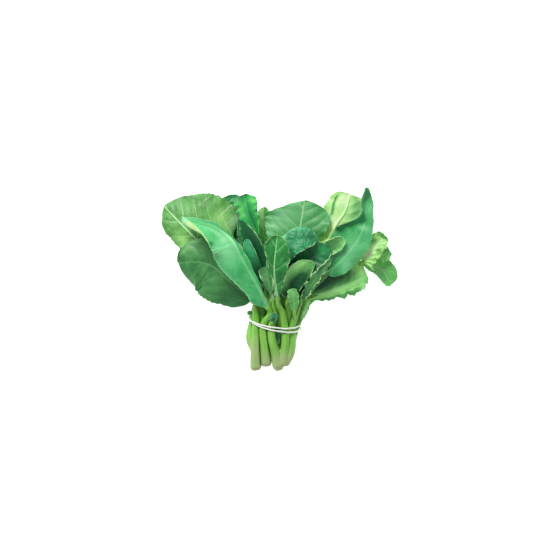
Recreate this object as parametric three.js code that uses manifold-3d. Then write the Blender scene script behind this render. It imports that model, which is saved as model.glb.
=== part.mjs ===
// A tied bunch of Chinese broccoli, lying on its side as it does on a kitchen worktop.
// Millimetres, +Z up. The origin is on the worktop, under the middle of the stalks where the band
// holds them. +Y runs from the cut ends to the leaf tips, and +X to the right, seen from above.
import * as THREE from "three";
import { mergeVertices } from "three/addons/utils/BufferGeometryUtils.js";
import Module from "manifold-3d";

const wasm = await Module();
wasm.setup();

// Driving dimensions
const BLADE_THICKNESS = 0.8;
const JOINT_GAP = 0.35; // between a leaf stalk's end and the blade that carries on from it
const RIB_DEPTH = 1.5; // of the midrib under the blade, as a share of its half width
const TIP_RIB = 0.5; // half width of the midrib at the leaf's tip
const RIB_TAPER = 0.7; // below 1, the midrib thins most near the base
const LEAST_WING = 0.7; // the blade's least width beside the midrib
const ROW_CROWDING = 0.55; // 0 spaces a blade's rows evenly, 1 crowds them at both ends
const WAVE_LAG = 0.38; // the right margin's waves lag the left's by this share of a wave
const WAVE_RISE = 4; // the waves reach full height at one part in this many of the rib
const FLAT_CURL = 1e-4; // a side without curl is bent by this much, in radians
const LEAD_IN = 3; // the leaf stalk's last stretch is straight for this many of its radii
const PETIOLE_DROP = 0.45; // the leaf stalk meets the midrib this far down its depth, as a share
const MERGE = 1e-3; // points closer than this are one point
const UNDER_WORKTOP = { width: 400, depth: 20 }; // the block that is cut away below z = 0
const STALK_SIDES = 8;
const STALK_STEP = 13; // a stalk's cross-sections are about this far apart

// The band lies in a slanting plane: its front is nearer the cut ends than its back.
const BAND = {
  y: 5.8, // where the plane crosses the bundle's middle
  middleZ: 19.5,
  fallPerZ: 0.38,
  fallPerX: 0.18,
  strand: 0.95, // radius of one strand
  clearance: 0.75,
  spreadY: 2.9, // the two turns lie up to this far either side of their middle
  spreadOut: 2.1, // and one passes this far outside the other where they cross
  crossing: 3, // the power that keeps that step close to the crossing
  points: 72, // around both turns
  segments: 80,
  sides: 6,
};

// Each stalk crosses the band's plane at x and z, with radius r.
const NECKS = {
  farLeft: { x: -28, z: 17, r: 3.4 },
  left: { x: -23.4, z: 25.4, r: 4.4 },
  midLeft: { x: -14.2, z: 31, r: 4.5 },
  front: { x: -4.4, z: 32.4, r: 4.9 },
  frontRight: { x: 12, z: 30.5, r: 4.7 },
  right: { x: 21.4, z: 25.6, r: 4 },
  farRight: { x: 26.6, z: 16.4, r: 4.2 },
  coreA: { x: -16.7, z: 17.5, r: 4.1 },
  coreB: { x: -6, z: 21.4, r: 4.5 },
  coreC: { x: 4.6, z: 19, r: 4.5 },
  coreD: { x: 15.6, z: 18.6, r: 4.2 },
  lowA: { x: -21, z: 9, r: 4.2 },
  lowB: { x: -10.4, z: 8.6, r: 4.5 },
  lowC: { x: 0.6, z: 8.5, r: 4.5 },
  lowD: { x: 11.2, z: 8, r: 4.5 },
  lowE: { x: 21, z: 8.8, r: 4.2 },
};

// A leaf. rib: the midrib from the blade's base to its tip. ribR: the midrib's half width at the base.
// tone: its colour. roll: how far the upper face leans to the right of the rib, in degrees, at the base
// and at the tip.
// Each side has w, its greatest width; fold, the angle at which it leaves the rib, up being positive;
// and curl, the further angle that it turns through on its way to the margin, at the base and tip.
// peak: where along the rib the blade is widest. blunt: 1 for a round outline, 2 for a pointed one. A side
// may have its own peak and blunt.
// wave: [height, number, phase] of the margin's waves. tooth: depth of the margin's notches, as a share.
// dents: [side, place along the rib, depth as a share, reach along the rib] of single dents in the margin.
// grid: [steps along the rib, steps from rib to margin].
const LEAVES = {
  left_wide: {
    tone: "fresh",
    rib: [[-38, 48, 13], [-83, 95, 18], [-116, 128, 15], [-141, 154, 5.5]],
    ribR: 2.6, roll: [0, 0],
    peak: 0.58, blunt: 0.9, wave: [3, 2.5, 0.2],
    tooth: 0.02, grid: [14, 4],
    dents: [[1, 0.28, 0.4, 0.07], [1, 0.14, 0.6, 0.1]],
    left: { w: 25, fold: -8, curl: [-10, -14], blunt: 1.3 },
    right: { w: 65, fold: 4, curl: [-12, -10], peak: 0.44, blunt: 1.05 },
  },
  left_low: {
    tone: "deep",
    rib: [[-29, 35, 28], [-59, 60, 31], [-80, 78, 30], [-100, 83, 26], [-122, 81, 20]],
    ribR: 2.4, roll: [-6, -6],
    peak: 0.5, blunt: 0.85, wave: [2.5, 2.2, 0.6],
    tooth: 0.02, grid: [13, 3],
    left: { w: 42, fold: -4, curl: [-14, -14] },
    right: { w: 33, fold: 6, curl: [-10, -10] },
  },
  front_left: {
    tone: "glaucous",
    rib: [[-9, 25, 42], [-21, 51, 54], [-41, 86, 60], [-53, 109, 61], [-75, 125.5, 54], [-115, 138, 40]],
    ribR: 2.8, roll: [-6, -8],
    peak: 0.7, blunt: 1.23, wave: [2.2, 2.0, 0.1],
    tooth: 0.02, grid: [15, 4],
    dents: [[-1, 0.05, -0.9, 0.08], [-1, 0.81, 0.12, 0.1]],
    left: { w: 37, fold: 2, curl: [-10, 215] },
    right: { w: 7.5, fold: -56, curl: [44, -50], peak: 0.6, blunt: 1 },
  },
  front_centre: {
    tone: "fresh",
    rib: [[3, 36, 48], [-1, 72, 65], [3, 115, 74]],
    ribR: 2.4, roll: [0, 0],
    peak: 0.68, blunt: 1.6, wave: [1.6, 3, 0.3],
    tooth: 0.04, grid: [12, 3],
    left: { w: 14, fold: 16, curl: [10, 14], peak: 0.84, blunt: 3 },
    right: { w: 19, fold: 12, curl: [-16, -10] },
  },
  front_lobe: {
    tone: "fresh",
    rib: [[-3, 34, 39.5], [-7.5, 55, 46], [-12, 76, 48]],
    ribR: 1.8, roll: [-6, -6],
    peak: 0.85, blunt: 1.6, wave: [1.2, 2, 0.1],
    tooth: 0.08, grid: [9, 2],
    left: { w: 9.5, fold: 6, curl: [0, 0] },
    right: { w: 8, fold: 4, curl: [0, 0] },
  },
  front_cup: {
    tone: "fresh",
    rib: [[17, 36, 38], [26, 60, 46], [48, 82, 52]],
    ribR: 2.2, roll: [10, 20],
    peak: 0.5, blunt: 1.1, wave: [1.5, 1.6, 0.4],
    tooth: 0.02, grid: [11, 3],
    left: { w: 21, fold: 10, curl: [20, 14] },
    right: { w: 12, fold: 8, curl: [10, 10] },
  },
  centre_dark: {
    tone: "deep",
    rib: [[15, 54, 33], [36, 82, 42], [69, 99, 48]],
    ribR: 2.2, roll: [0, 4],
    peak: 0.5, blunt: 1.0, wave: [1.6, 1.7, 0.8],
    tooth: 0.02, grid: [11, 3],
    left: { w: 25, fold: 14, curl: [6, 6] },
    right: { w: 18, fold: 6, curl: [8, 8] },
  },
  centre_savoy: {
    tone: "glaucous",
    rib: [[3, 62, 42], [13, 94, 57], [32, 110, 61], [51, 112, 57]],
    ribR: 2.2, roll: [-4, -8],
    peak: 0.6, blunt: 1.1, wave: [1.8, 3.4, 0.2],
    tooth: 0.03, grid: [12, 3],
    left: { w: 17, fold: 6, curl: [-20, -30] },
    right: { w: 14, fold: 14, curl: [-6, -6] },
  },
  centre_back: {
    tone: "glaucous",
    rib: [[17, 62, 24], [30, 118, 33], [37, 160, 33]],
    ribR: 2.8, roll: [-4, 0],
    peak: 0.6, blunt: 0.9, wave: [3, 2.4, 0.3],
    tooth: 0.02, grid: [14, 4],
    dents: [[-1, 0.87, 0.12, 0.04]],
    left: { w: 47, fold: 2, curl: [-10, -8], blunt: 2.4 },
    right: { w: 36, fold: 4, curl: [-8, -4], peak: 0.74, blunt: 2.1 },
  },
  top_left: {
    tone: "fresh",
    rib: [[-8, 64, 27], [-17, 104, 33], [-32, 140, 38], [-39, 167, 35]],
    ribR: 2.4, roll: [-4, 0],
    peak: 0.85, blunt: 1.6, wave: [2.5, 3.2, 0.5],
    tooth: 0.04, grid: [14, 3],
    dents: [[-1, 0.84, 0.4, 0.08], [1, 0.58, -0.55, 0.1]],
    left: { w: 21, fold: 14, curl: [-10, -30], peak: 0.95, blunt: 1.6 },
    right: { w: 18, fold: 34, curl: [10, 0], blunt: 5 },
  },
  top_pale: {
    tone: "pale",
    rib: [[-8, 68, 16], [-13, 112, 20], [-14, 152, 22]],
    ribR: 2.0, roll: [172, 180],
    peak: 0.6, blunt: 1.2, wave: [1.8, 2.6, 0.1],
    tooth: 0.04, grid: [10, 2],
    left: { w: 13, fold: 0, curl: [0, 0] },
    right: { w: 13, fold: 0, curl: [0, 0] },
  },
  mid_grey: {
    tone: "deep",
    rib: [[-36, 99, 27], [-39, 117, 29], [-43, 138, 28]],
    ribR: 1.6, roll: [-10, -4],
    peak: 0.5, blunt: 0.8, wave: [1.2, 2, 0.2],
    tooth: 0.02, grid: [10, 2],
    left: { w: 9, fold: -8, curl: [-10, -10] },
    right: { w: 9, fold: 0, curl: [-10, -10] },
  },
  mid_folded: {
    tone: "deep",
    rib: [[-19, 58, 26], [-25, 94, 37], [-43, 134, 44]],
    ribR: 2.2, roll: [4, 4],
    peak: 0.45, blunt: 1.1, wave: [1.2, 2, 0.7],
    tooth: 0.02, grid: [11, 3],
    left: { w: 11, fold: -24, curl: [0, 0] },
    right: { w: 13, fold: 12, curl: [0, 0] },
  },
  mid_small: {
    tone: "glaucous",
    rib: [[-13, 52, 35], [-22, 80, 43], [-35, 111, 47]],
    ribR: 1.8, roll: [-4, 0],
    peak: 0.65, blunt: 1.1, wave: [1.2, 2, 0.4],
    tooth: 0.03, grid: [9, 2],
    left: { w: 10, fold: 0, curl: [0, 0] },
    right: { w: 4, fold: 4, curl: [0, 0] },
  },
  back_left: {
    tone: "deep",
    rib: [[-21, 66, 15], [-42, 118, 7], [-68, 163, 3]],
    ribR: 2.4, roll: [0, 0],
    peak: 0.76, blunt: 1.3, wave: [1.6, 2.6, 0.5],
    tooth: 0.03, grid: [11, 3],
    left: { w: 16, fold: 0, curl: [0, 0] },
    right: { w: 26, fold: 0, curl: [0, 0] },
  },
  right_pale: {
    tone: "pale",
    rib: [[40, 70, 20], [62, 102, 24], [76, 128, 26], [88, 146, 25], [95, 168, 21]],
    ribR: 2.8, roll: [176, 184],
    peak: 0.72, blunt: 0.9, wave: [2.5, 2.2, 0.1],
    tooth: 0.03, grid: [14, 3],
    left: { w: 26, fold: 0, curl: [6, -30] },
    right: { w: 27, fold: -4, curl: [0, 10] },
  },
  right_lip: {
    tone: "pale",
    rib: [[52, 84, 38.5], [68, 97, 43], [87, 110, 47]],
    ribR: 1.8, roll: [0, 0],
    peak: 0.6, blunt: 1.2, wave: [1.2, 1.6, 0.1],
    tooth: 0.02, grid: [9, 2],
    left: { w: 14, fold: 14, curl: [30, 30] },
    right: { w: 8, fold: 4, curl: [20, 30] },
  },
  right_tall: {
    tone: "glaucous",
    rib: [[66, 68, 34], [90, 92, 38], [109, 122, 40], [114, 176, 36]],
    ribR: 2.6, roll: [4, 4],
    peak: 0.4, blunt: 1.5, wave: [2.5, 2.4, 0.6],
    tooth: 0.03, grid: [15, 4],
    dents: [[-1, 0.82, 0.7, 0.1]],
    left: { w: 32, fold: 2, curl: [-6, 10], peak: 0.5, blunt: 2.6 },
    right: { w: 18, fold: -6, curl: [-16, -20], blunt: 0.9 },
  },
  right_low: {
    tone: "fresh",
    rib: [[46, 38, 19], [80, 50, 18], [100, 58, 16], [117, 65, 12]],
    ribR: 2.6, roll: [0, 0],
    peak: 0.6, blunt: 0.8, wave: [2.2, 4.5, 0.2],
    tooth: 0.2, grid: [15, 3],
    left: { w: 24, fold: 10, curl: [10, 0] },
    right: { w: 17, fold: -8, curl: [-22, -22] },
  },
  right_dark: {
    tone: "deep",
    rib: [[40, 48, 22], [64, 67, 28], [88, 86, 31]],
    ribR: 2.0, roll: [10, 10],
    peak: 0.5, blunt: 1.2, wave: [1.2, 2, 0.3],
    tooth: 0.03, grid: [9, 2],
    left: { w: 10, fold: 4, curl: [0, 0] },
    right: { w: 14, fold: 0, curl: [0, 0] },
  },
  far_right: {
    tone: "fresh",
    rib: [[114, 79, 14], [134, 74, 7], [148, 54, 1.8]],
    ribR: 1.8, roll: [0, 0],
    peak: 0.6, blunt: 0.8, wave: [1.5, 1.6, 0.2],
    tooth: 0.03, grid: [9, 2],
    left: { w: 16, fold: 6, curl: [-10, -10] },
    right: { w: 10, fold: 0, curl: [-10, -10] },
  },
  far_right_curly: {
    tone: "pale",
    rib: [[111, 84, 23], [119, 92, 26], [128, 105, 27], [138, 117, 23]],
    ribR: 1.5, roll: [0, 0],
    peak: 0.5, blunt: 0.7, wave: [3, 4.5, 0.1],
    tooth: 0.25, grid: [14, 2],
    dents: [[-1, 0.1, -0.8, 0.12], [1, 0.06, -0.8, 0.1]],
    left: { w: 14, fold: 6, curl: [20, 20] },
    right: { w: 13, fold: 6, curl: [20, 20] },
  },
  far_right_frill: {
    tone: "fresh",
    rib: [[123, 86, 18], [134, 91, 19], [146, 96, 15]],
    ribR: 1.5, roll: [0, 0],
    peak: 0.6, blunt: 0.9, wave: [2, 3, 0.6],
    tooth: 0.15, grid: [9, 2],
    left: { w: 10, fold: 10, curl: [0, 0] },
    right: { w: 10, fold: 0, curl: [0, 0] },
  },
  under_left: {
    tone: "deep",
    rib: [[-3, 27, 5.2], [-5, 52, 5.6], [-8, 84, 5]],
    ribR: 1.8, roll: [0, 0],
    peak: 0.45, blunt: 0.9, wave: [1.2, 1.2, 0.3],
    tooth: 0.03, grid: [8, 2],
    left: { w: 20, fold: 0, curl: [0, 0] },
    right: { w: 19, fold: 0, curl: [0, 0] },
  },
  under_right: {
    tone: "deep",
    rib: [[26, 31, 5.2], [34, 50, 5.6], [46, 76, 5]],
    ribR: 1.8, roll: [0, 0],
    peak: 0.45, blunt: 0.9, wave: [1.2, 1.2, 0.6],
    tooth: 0.03, grid: [8, 2],
    left: { w: 17, fold: 0, curl: [0, 0] },
    right: { w: 14, fold: 0, curl: [0, 0] },
  },
  front_tab: {
    tone: "fresh",
    rib: [[24, 20, 40], [23.5, 34, 46], [21, 49, 50]],
    ribR: 1.6, roll: [0, 0],
    peak: 0.7, blunt: 0.8, wave: [1, 1.6, 0.2],
    tooth: 0.05, grid: [7, 2],
    left: { w: 7.5, fold: 8, curl: [0, 0] },
    right: { w: 7.5, fold: 8, curl: [0, 0] },
  },
  front_jagged: {
    tone: "fresh",
    rib: [[33, 32, 38], [47, 57, 52], [72, 88, 60]],
    ribR: 1.6, roll: [0, 0],
    peak: 0.5, blunt: 1.1, wave: [1, 4, 0.2],
    tooth: 0.4, grid: [14, 2],
    left: { w: 7, fold: 10, curl: [0, 0] },
    right: { w: 6, fold: 20, curl: [0, 0] },
  },
  wing_right: {
    tone: "fresh",
    rib: [[33.5, 10, 21.5], [38, 22, 25.5], [44, 36, 28]],
    ribR: 1.2, roll: [20, 20],
    peak: 0.5, blunt: 1.0, wave: [0.8, 3, 0.2],
    tooth: 0.35, grid: [10, 2],
    left: { w: 3.4, fold: 10, curl: [0, 0] },
    right: { w: 4.4, fold: 0, curl: [0, 0] },
  },
  scrap_left: {
    tone: "deep",
    rib: [[-29, 17, 23], [-31.5, 18.5, 25], [-35, 18, 25]],
    ribR: 1.1, roll: [0, 0],
    peak: 0.5, blunt: 0.9, wave: [0.6, 1, 0.2],
    tooth: 0.05, grid: [5, 2],
    left: { w: 3, fold: 0, curl: [20, 20] },
    right: { w: 3, fold: 0, curl: [20, 20] },
  },
  scrap_centre: {
    tone: "glaucous",
    rib: [[-3, 8, 41.5], [-3, 14, 45], [-4, 21, 47]],
    ribR: 1.2, roll: [0, 0],
    peak: 0.55, blunt: 0.9, wave: [0.8, 1.4, 0.2],
    tooth: 0.05, grid: [6, 2],
    left: { w: 6, fold: 0, curl: [50, 50] },
    right: { w: 6, fold: 0, curl: [50, 50] },
  },
  scrap_gap: {
    tone: "glaucous",
    rib: [[3.6, -5, 25.4], [3.8, -12, 26], [3.6, -20, 26]],
    ribR: 1, roll: [0, 0],
    peak: 0.45, blunt: 0.9, wave: [0.4, 1.4, 0.2],
    tooth: 0.05, grid: [5, 2],
    left: { w: 3, fold: 0, curl: [0, 0] },
    right: { w: 3, fold: 0, curl: [0, 0] },
  },
};

// A shoot is one grown stalk. Each of its limbs starts at the cut end or inside an earlier limb, runs
// through points [x, y, z, radius] or a named neck in the band, and ends at the base of its leaf.
const SHOOTS = {
  left: [
    { path: [[-23.8, -54, 27, 5.4], [-24.3, -49.5, 27, 7.1], [-24.8, -27, 27, 5.8], "left",
      [-24.5, 22, 27, 3.4]], leaf: "left_low" },
    { path: [[-25, -33, 25, 3.6], [-32.2, -14, 20, 4.3], "farLeft", [-25.2, 28, 17.4, 2.8]],
      leaf: "back_left" },
    { path: [[-27.4, 14, 17, 1.4]], leaf: "scrap_left" },
  ],
  mid_left: [
    { path: [[-10.8, -49, 27, 5], [-11.2, -44.5, 27, 6.7], [-13, -26, 29, 5.2], "midLeft"],
      leaf: "front_left" },
  ],
  front: [
    { path: [[5.6, -54, 27, 4.6], [4, -47.5, 27, 7.4], [1, -34, 29, 5.8], [-3.8, -14, 31.6, 5], "front",
      [-1, 18, 32, 3.2]], leaf: "front_lobe" },
    { path: [[8, -48, 27, 6.4], [11.4, -32, 28.5, 5], [13, -14, 30, 4.7], "frontRight", [9, 20, 37, 3.6]],
      leaf: "front_centre" },
    { path: [[11.6, -47, 26, 5.2], [19.6, -32, 24.6, 4.9], [22, -14, 24.6, 4.2], "right"],
      leaf: "front_jagged" },
    { path: [[-4, 5, 34, 1.6]], leaf: "scrap_centre" },
    { path: [[24, 10, 29, 1.6]], leaf: "front_tab" },
  ],
  far_right: [
    { path: [[21.2, -34, 14.5, 3.8], [22.3, -17, 15.6, 4.1], "farRight", [27.8, 12, 17, 3.9],
      [36.6, 25.6, 17, 3.5]], leaf: "right_low" },
    { path: [[29, 8, 17.5, 1.2]], leaf: "wing_right" },
    { path: [[33, 19, 17, 2.4], [46, 33.6, 11, 2.6], [62, 44, 8, 2.8], [88, 52, 7, 2.8], [104, 66, 8, 2.4]],
      leaf: "far_right" },
    { path: [[88, 50, 7, 2], [100, 69, 7, 2], [107, 81, 16, 2]], leaf: "far_right_curly" },
    { path: [[106, 79, 14.4, 1.8], [114, 85, 17, 1.6]], leaf: "far_right_frill" },
  ],
  core_a: [
    { path: [[-17, -38, 14.6, 4.2], "coreA", [-17, 36, 22, 3]], leaf: "mid_folded" },
    { path: [[-17, 28, 21, 2.2], [-25, 52, 22.8, 2], [-33, 78, 24, 1.8]], leaf: "mid_grey" },
  ],
  core_b: [
    { path: [[-7, -40, 15, 4.6], "coreB", [-7, 42, 23, 3.2]], leaf: "top_left" },
    { path: [[-7, 28, 22, 2], [-11, 40, 27, 2]], leaf: "mid_small" },
  ],
  core_c: [
    { path: [[3, -39, 15, 4.6], "coreC", [4, 38, 27, 3]], leaf: "centre_savoy" },
    { path: [[4, 6, 18, 1.4], [3.6, 0, 23, 1.2]], leaf: "scrap_gap" },
  ],
  core_d: [
    { path: [[12.6, -37, 14.5, 4], "coreD", [17, 22, 27, 3.6]], leaf: "front_cup" },
    { path: [[17, 18, 23, 2.4], [16, 40, 29, 2.4]], leaf: "centre_dark" },
  ],
  low_a: [
    { path: [[-22, -40, 5.6, 4.4], "lowA", [-26, 34, 11, 3.2]], leaf: "left_wide" },
  ],
  low_b: [
    { path: [[-12, -38, 5.4, 4.6], "lowB", [-9, 42, 12, 3]], leaf: "top_pale" },
    { path: [[-9, 16, 8.4, 2.4], [-5, 22, 5.4, 2]], leaf: "under_left" },
  ],
  low_c: [
    { path: [[-2, -44, 5.6, 4.9], [0, -9, 4.24, 4.8], [0, 4, 4.24, 4.8], [0, 7, 5.6, 4.8], "lowC",
      [8.4, 36, 14, 3.8]], leaf: "centre_back" },
  ],
  low_d: [
    { path: [[9, -40, 5.2, 4.5], "lowD", [22, 40, 12, 3.4]], leaf: "right_pale" },
    { path: [[20, 36, 12, 2.2], [30, 54, 25, 2.2], [42, 72, 35, 1.9]], leaf: "right_lip" },
  ],
  low_e: [
    { path: [[19, -38, 5, 4.2], "lowE", [24, 22, 9.5, 3.5], [33.4, 36.6, 22.6, 3.3]], leaf: "right_tall" },
    { path: [[23, 17, 9.3, 2.4], [24.6, 25, 6.2, 2]], leaf: "under_right" },
    { path: [[28, 27, 16, 2.2], [34, 40, 21, 2]], leaf: "right_dark" },
  ],
};

const TONES = {
  fresh: { color: "#6aa554", roughness: 0.5 },
  glaucous: { color: "#5fae82", roughness: 0.6 },
  deep: { color: "#2f6b3f", roughness: 0.55 },
  pale: { color: "#b5d68a", roughness: 0.6 },
  stalk: { color: "#94bd5c", roughness: 0.45 },
  band: { color: "#f2f2ee", roughness: 0.6 },
};

const radians = THREE.MathUtils.degToRad;
const lerp = THREE.MathUtils.lerp;
const vec = ([x, y, z]) => new THREE.Vector3(x, y, z);
const curveThrough = (points) => new THREE.CatmullRomCurve3(points.map(vec), false, "centripetal");
const counted = (count, make) => Array.from({ length: count }, (_, i) => make(i));

// Where along the rib a blade's rows lie.
function rowPlaces(steps) {
  return counted(steps + 1, (i) => lerp(i / steps, (1 - Math.cos((Math.PI * i) / steps)) / 2, ROW_CROWDING));
}

// The outline's half width at u, as a share of its greatest.
function outline(leaf, side, u) {
  const { peak, blunt, dents = [] } = { ...leaf, ...side };
  const whole = (u / peak) ** (blunt * peak) * ((1 - u) / (1 - peak)) ** (blunt * (1 - peak));
  const own = dents.filter(([sign]) => sign === (side === leaf.left ? -1 : 1));
  const cut = ([, place, depth, reach]) => 1 - depth * Math.exp(-(((u - place) / reach) ** 2));
  return own.reduce((width, dent) => width * cut(dent), whole);
}

// The midrib at u: its point, its direction, the upper face's normal, the way to the right, and its radius.
function ribAt(leaf, u) {
  const curve = curveThrough(leaf.rib);
  const point = curve.getPoint(u);
  const along = curve.getTangent(u);
  const up = new THREE.Vector3(0, 0, 1);
  up.addScaledVector(along, -up.dot(along)).normalize();
  up.applyAxisAngle(along, radians(lerp(leaf.roll[0], leaf.roll[1], u)));
  const across = along.clone().cross(up);
  return { point, along, up, across, radius: lerp(leaf.ribR, TIP_RIB, u ** RIB_TAPER) };
}

// A point of the blade's middle surface, q of the way from the midrib's edge to the margin, and the
// surface's normal there. sign is -1 on the left side and 1 on the right.
function bladePoint(leaf, rib, sign, u, q, width) {
  const side = sign < 0 ? leaf.left : leaf.right;
  const fold = radians(side.fold);
  const curl = radians(lerp(side.curl[0], side.curl[1], u * u)) || FLAT_CURL;
  const angle = fold + curl * q;
  const out = (width / curl) * (Math.sin(angle) - Math.sin(fold));
  const lift = (width / curl) * (Math.cos(fold) - Math.cos(angle));
  const [height, count, phase] = leaf.wave;
  const swing = Math.sin(2 * Math.PI * (count * u + phase + (sign > 0 ? WAVE_LAG : 0)));
  const ripple = height * swing * q * q * Math.min(1, WAVE_RISE * u);
  const normal = new THREE.Vector3()
    .addScaledVector(rib.up, Math.cos(angle))
    .addScaledVector(rib.across, -sign * Math.sin(angle));
  const place = rib.point.clone()
    .addScaledVector(rib.across, sign * (rib.radius + out))
    .addScaledVector(rib.up, lift)
    .addScaledVector(normal, ripple);
  return { place, normal, depth: 0 };
}

// One blade: a thin closed sheet, with a midrib that stands out below it.
function bladeGeometry(leaf) {
  const [rowSteps, sideSteps] = leaf.grid;
  const rows = rowPlaces(rowSteps).map((u, row) => {
    const rib = ribAt(leaf, u);
    const notch = 1 - leaf.tooth * (row % 2);
    const half = (sign, side) => {
      const width = Math.max(side.w * outline(leaf, side, u) * notch - rib.radius, LEAST_WING);
      return counted(sideSteps + 1, (i) => bladePoint(leaf, rib, sign, u, i / sideSteps, width));
    };
    const middle = { place: rib.point, normal: rib.up, depth: RIB_DEPTH * rib.radius };
    return [...half(-1, leaf.left).reverse(), middle, ...half(1, leaf.right)];
  });
  const shifted = ({ place, normal }, by) => place.clone().addScaledVector(normal, by);
  const upper = rows.map((row) => row.map((spot) => shifted(spot, BLADE_THICKNESS / 2)));
  const lower = rows.map((row) => row.map((spot) => shifted(spot, -BLADE_THICKNESS / 2 - spot.depth)));
  return closedSheet(upper, lower);
}

// Joins two like grids of points into one closed body, with both faces split into triangles alike.
function closedSheet(upper, lower) {
  const rows = upper.length;
  const columns = upper[0].length;
  const top = ([r, c]) => r * columns + c;
  const under = (spot) => rows * columns + top(spot);
  const index = [];
  for (let r = 0; r < rows - 1; r++) {
    for (let c = 0; c < columns - 1; c++) {
      const [near, right, far, left] = [[r, c], [r, c + 1], [r + 1, c + 1], [r + 1, c]];
      index.push(top(near), top(right), top(far), top(near), top(far), top(left));
      index.push(under(near), under(far), under(right), under(near), under(left), under(far));
    }
  }
  const rim = [
    ...counted(columns - 1, (i) => [0, i]),
    ...counted(rows - 1, (i) => [i, columns - 1]),
    ...counted(columns - 1, (i) => [rows - 1, columns - 1 - i]),
    ...counted(rows - 1, (i) => [rows - 1 - i, 0]),
  ];
  rim.forEach((from, i) => {
    const to = rim[(i + 1) % rim.length];
    index.push(top(from), under(to), top(to), top(from), under(from), under(to));
  });
  const sheet = new THREE.BufferGeometry().setFromPoints([...upper.flat(), ...lower.flat()]);
  sheet.setIndex(index);
  return sheet;
}

// A round bar through stations { place, along, radius }, made by bending a cylinder.
function barGeometry(stations) {
  const steps = stations.length - 1;
  const bar = new THREE.CylinderGeometry(1, 1, 1, STALK_SIDES, steps);
  bar.rotateY(Math.PI / STALK_SIDES);
  const spots = bar.getAttribute("position");
  for (let i = 0; i < spots.count; i++) {
    const { place, along, radius } = stations[Math.round((0.5 - spots.getY(i)) * steps)];
    const sideways = new THREE.Vector3(0, 0, 1).cross(along).normalize();
    const up = along.clone().cross(sideways);
    const spot = place.clone()
      .addScaledVector(sideways, spots.getX(i) * radius)
      .addScaledVector(up, spots.getZ(i) * radius);
    spots.setXYZ(i, spot.x, spot.y, spot.z);
  }
  return bar;
}

// A closed geometry as a solid that can be joined and cut, and back.
function solidOf(geometry) {
  const bare = geometry.clone();
  bare.deleteAttribute("normal");
  bare.deleteAttribute("uv");
  const merged = mergeVertices(bare, MERGE);
  return new wasm.Manifold(new wasm.Mesh({
    numProp: 3,
    vertProperties: merged.getAttribute("position").array,
    triVerts: new Uint32Array(merged.getIndex().array),
  }));
}

function geometryOf(solid) {
  const { vertProperties, triVerts } = solid.getMesh();
  const geometry = new THREE.BufferGeometry();
  geometry.setAttribute("position", new THREE.BufferAttribute(Float32Array.from(vertProperties), 3));
  geometry.setIndex(new THREE.BufferAttribute(Uint32Array.from(triVerts), 1));
  return geometry;
}

// A point of the band's slanting plane, with a radius.
function onBandPlane({ x, z, r }) {
  return [x, BAND.y - BAND.fallPerZ * (z - BAND.middleZ) - BAND.fallPerX * x, z, r];
}

// The last two points of a limb: they bring it square onto the blade's base.
function limbEnd(leaf) {
  const rib = ribAt(leaf, 0);
  const middle = rib.point.addScaledVector(rib.up, -PETIOLE_DROP * RIB_DEPTH * rib.radius);
  return [LEAD_IN * rib.radius, JOINT_GAP].map((back) => [
    ...middle.clone().addScaledVector(rib.along, -back).toArray(),
    rib.radius,
  ]);
}

function limbSolid({ path, leaf }) {
  const points = path.map((p) => (typeof p === "string" ? onBandPlane(NECKS[p]) : p));
  points.push(...limbEnd(LEAVES[leaf]));
  const curve = curveThrough(points);
  const spans = points.length - 1;
  const stations = [];
  const addStation = (span, share) => {
    const t = (span + share) / spans;
    const radius = lerp(points[span][3], points[span + 1][3], share);
    stations.push({ place: curve.getPoint(t), along: curve.getTangent(t), radius });
  };
  addStation(0, 0);
  for (let span = 0; span < spans; span++) {
    const length = vec(points[span]).distanceTo(vec(points[span + 1]));
    const steps = Math.max(1, Math.round(length / STALK_STEP));
    counted(steps, (i) => addStation(span, (i + 1) / steps));
  }
  return solidOf(barGeometry(stations));
}

// One grown stalk with all its limbs. What would lie below the worktop is cut off, and that leaves a flat
// under the lowest stalk.
function shootGeometry(limbs) {
  const { width, depth } = UNDER_WORKTOP;
  const below = new THREE.BoxGeometry(width, width, depth).translate(0, 0, -depth / 2);
  const whole = limbs.map(limbSolid).reduce((sum, limb) => sum.add(limb));
  return geometryOf(whole.subtract(solidOf(below)));
}

// The band hugs the stalks' outline. Its two turns lie side by side and cross once, at the bunch's left side.
function bandGeometry() {
  const necks = Object.values(NECKS);
  const points = counted(BAND.points, (i) => {
    const turn = (4 * Math.PI * i) / BAND.points;
    const [x, z] = [Math.cos(turn), Math.sin(turn)];
    const reach = (neck) => neck.x * x + neck.z * z + neck.r;
    const outer = necks.reduce((best, neck) => (reach(neck) > reach(best) ? neck : best));
    const lag = turn / 2;
    const over = BAND.spreadOut * Math.max(0, Math.sin(lag)) ** BAND.crossing;
    const away = outer.r + BAND.clearance + BAND.strand + over;
    const spot = vec(onBandPlane({ x: outer.x + away * x, z: outer.z + away * z }));
    return spot.add(new THREE.Vector3(0, BAND.spreadY * Math.cos(lag), 0));
  });
  const path = new THREE.CatmullRomCurve3(points, true, "centripetal");
  return new THREE.TubeGeometry(path, BAND.segments, BAND.strand, BAND.sides, true);
}

const bunch = new THREE.Group();
function addPiece(name, tone, geometry) {
  const material = new THREE.MeshStandardMaterial({ name: tone, metalness: 0, ...TONES[tone] });
  const mesh = new THREE.Mesh(geometry, material);
  mesh.name = name;
  bunch.add(mesh);
}
for (const [name, leaf] of Object.entries(LEAVES)) {
  addPiece("leaf_" + name, leaf.tone, bladeGeometry(leaf));
}
for (const [name, limbs] of Object.entries(SHOOTS)) {
  addPiece("stalk_" + name, "stalk", shootGeometry(limbs));
}
addPiece("tie_band", "band", bandGeometry());

export default bunch;
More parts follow.
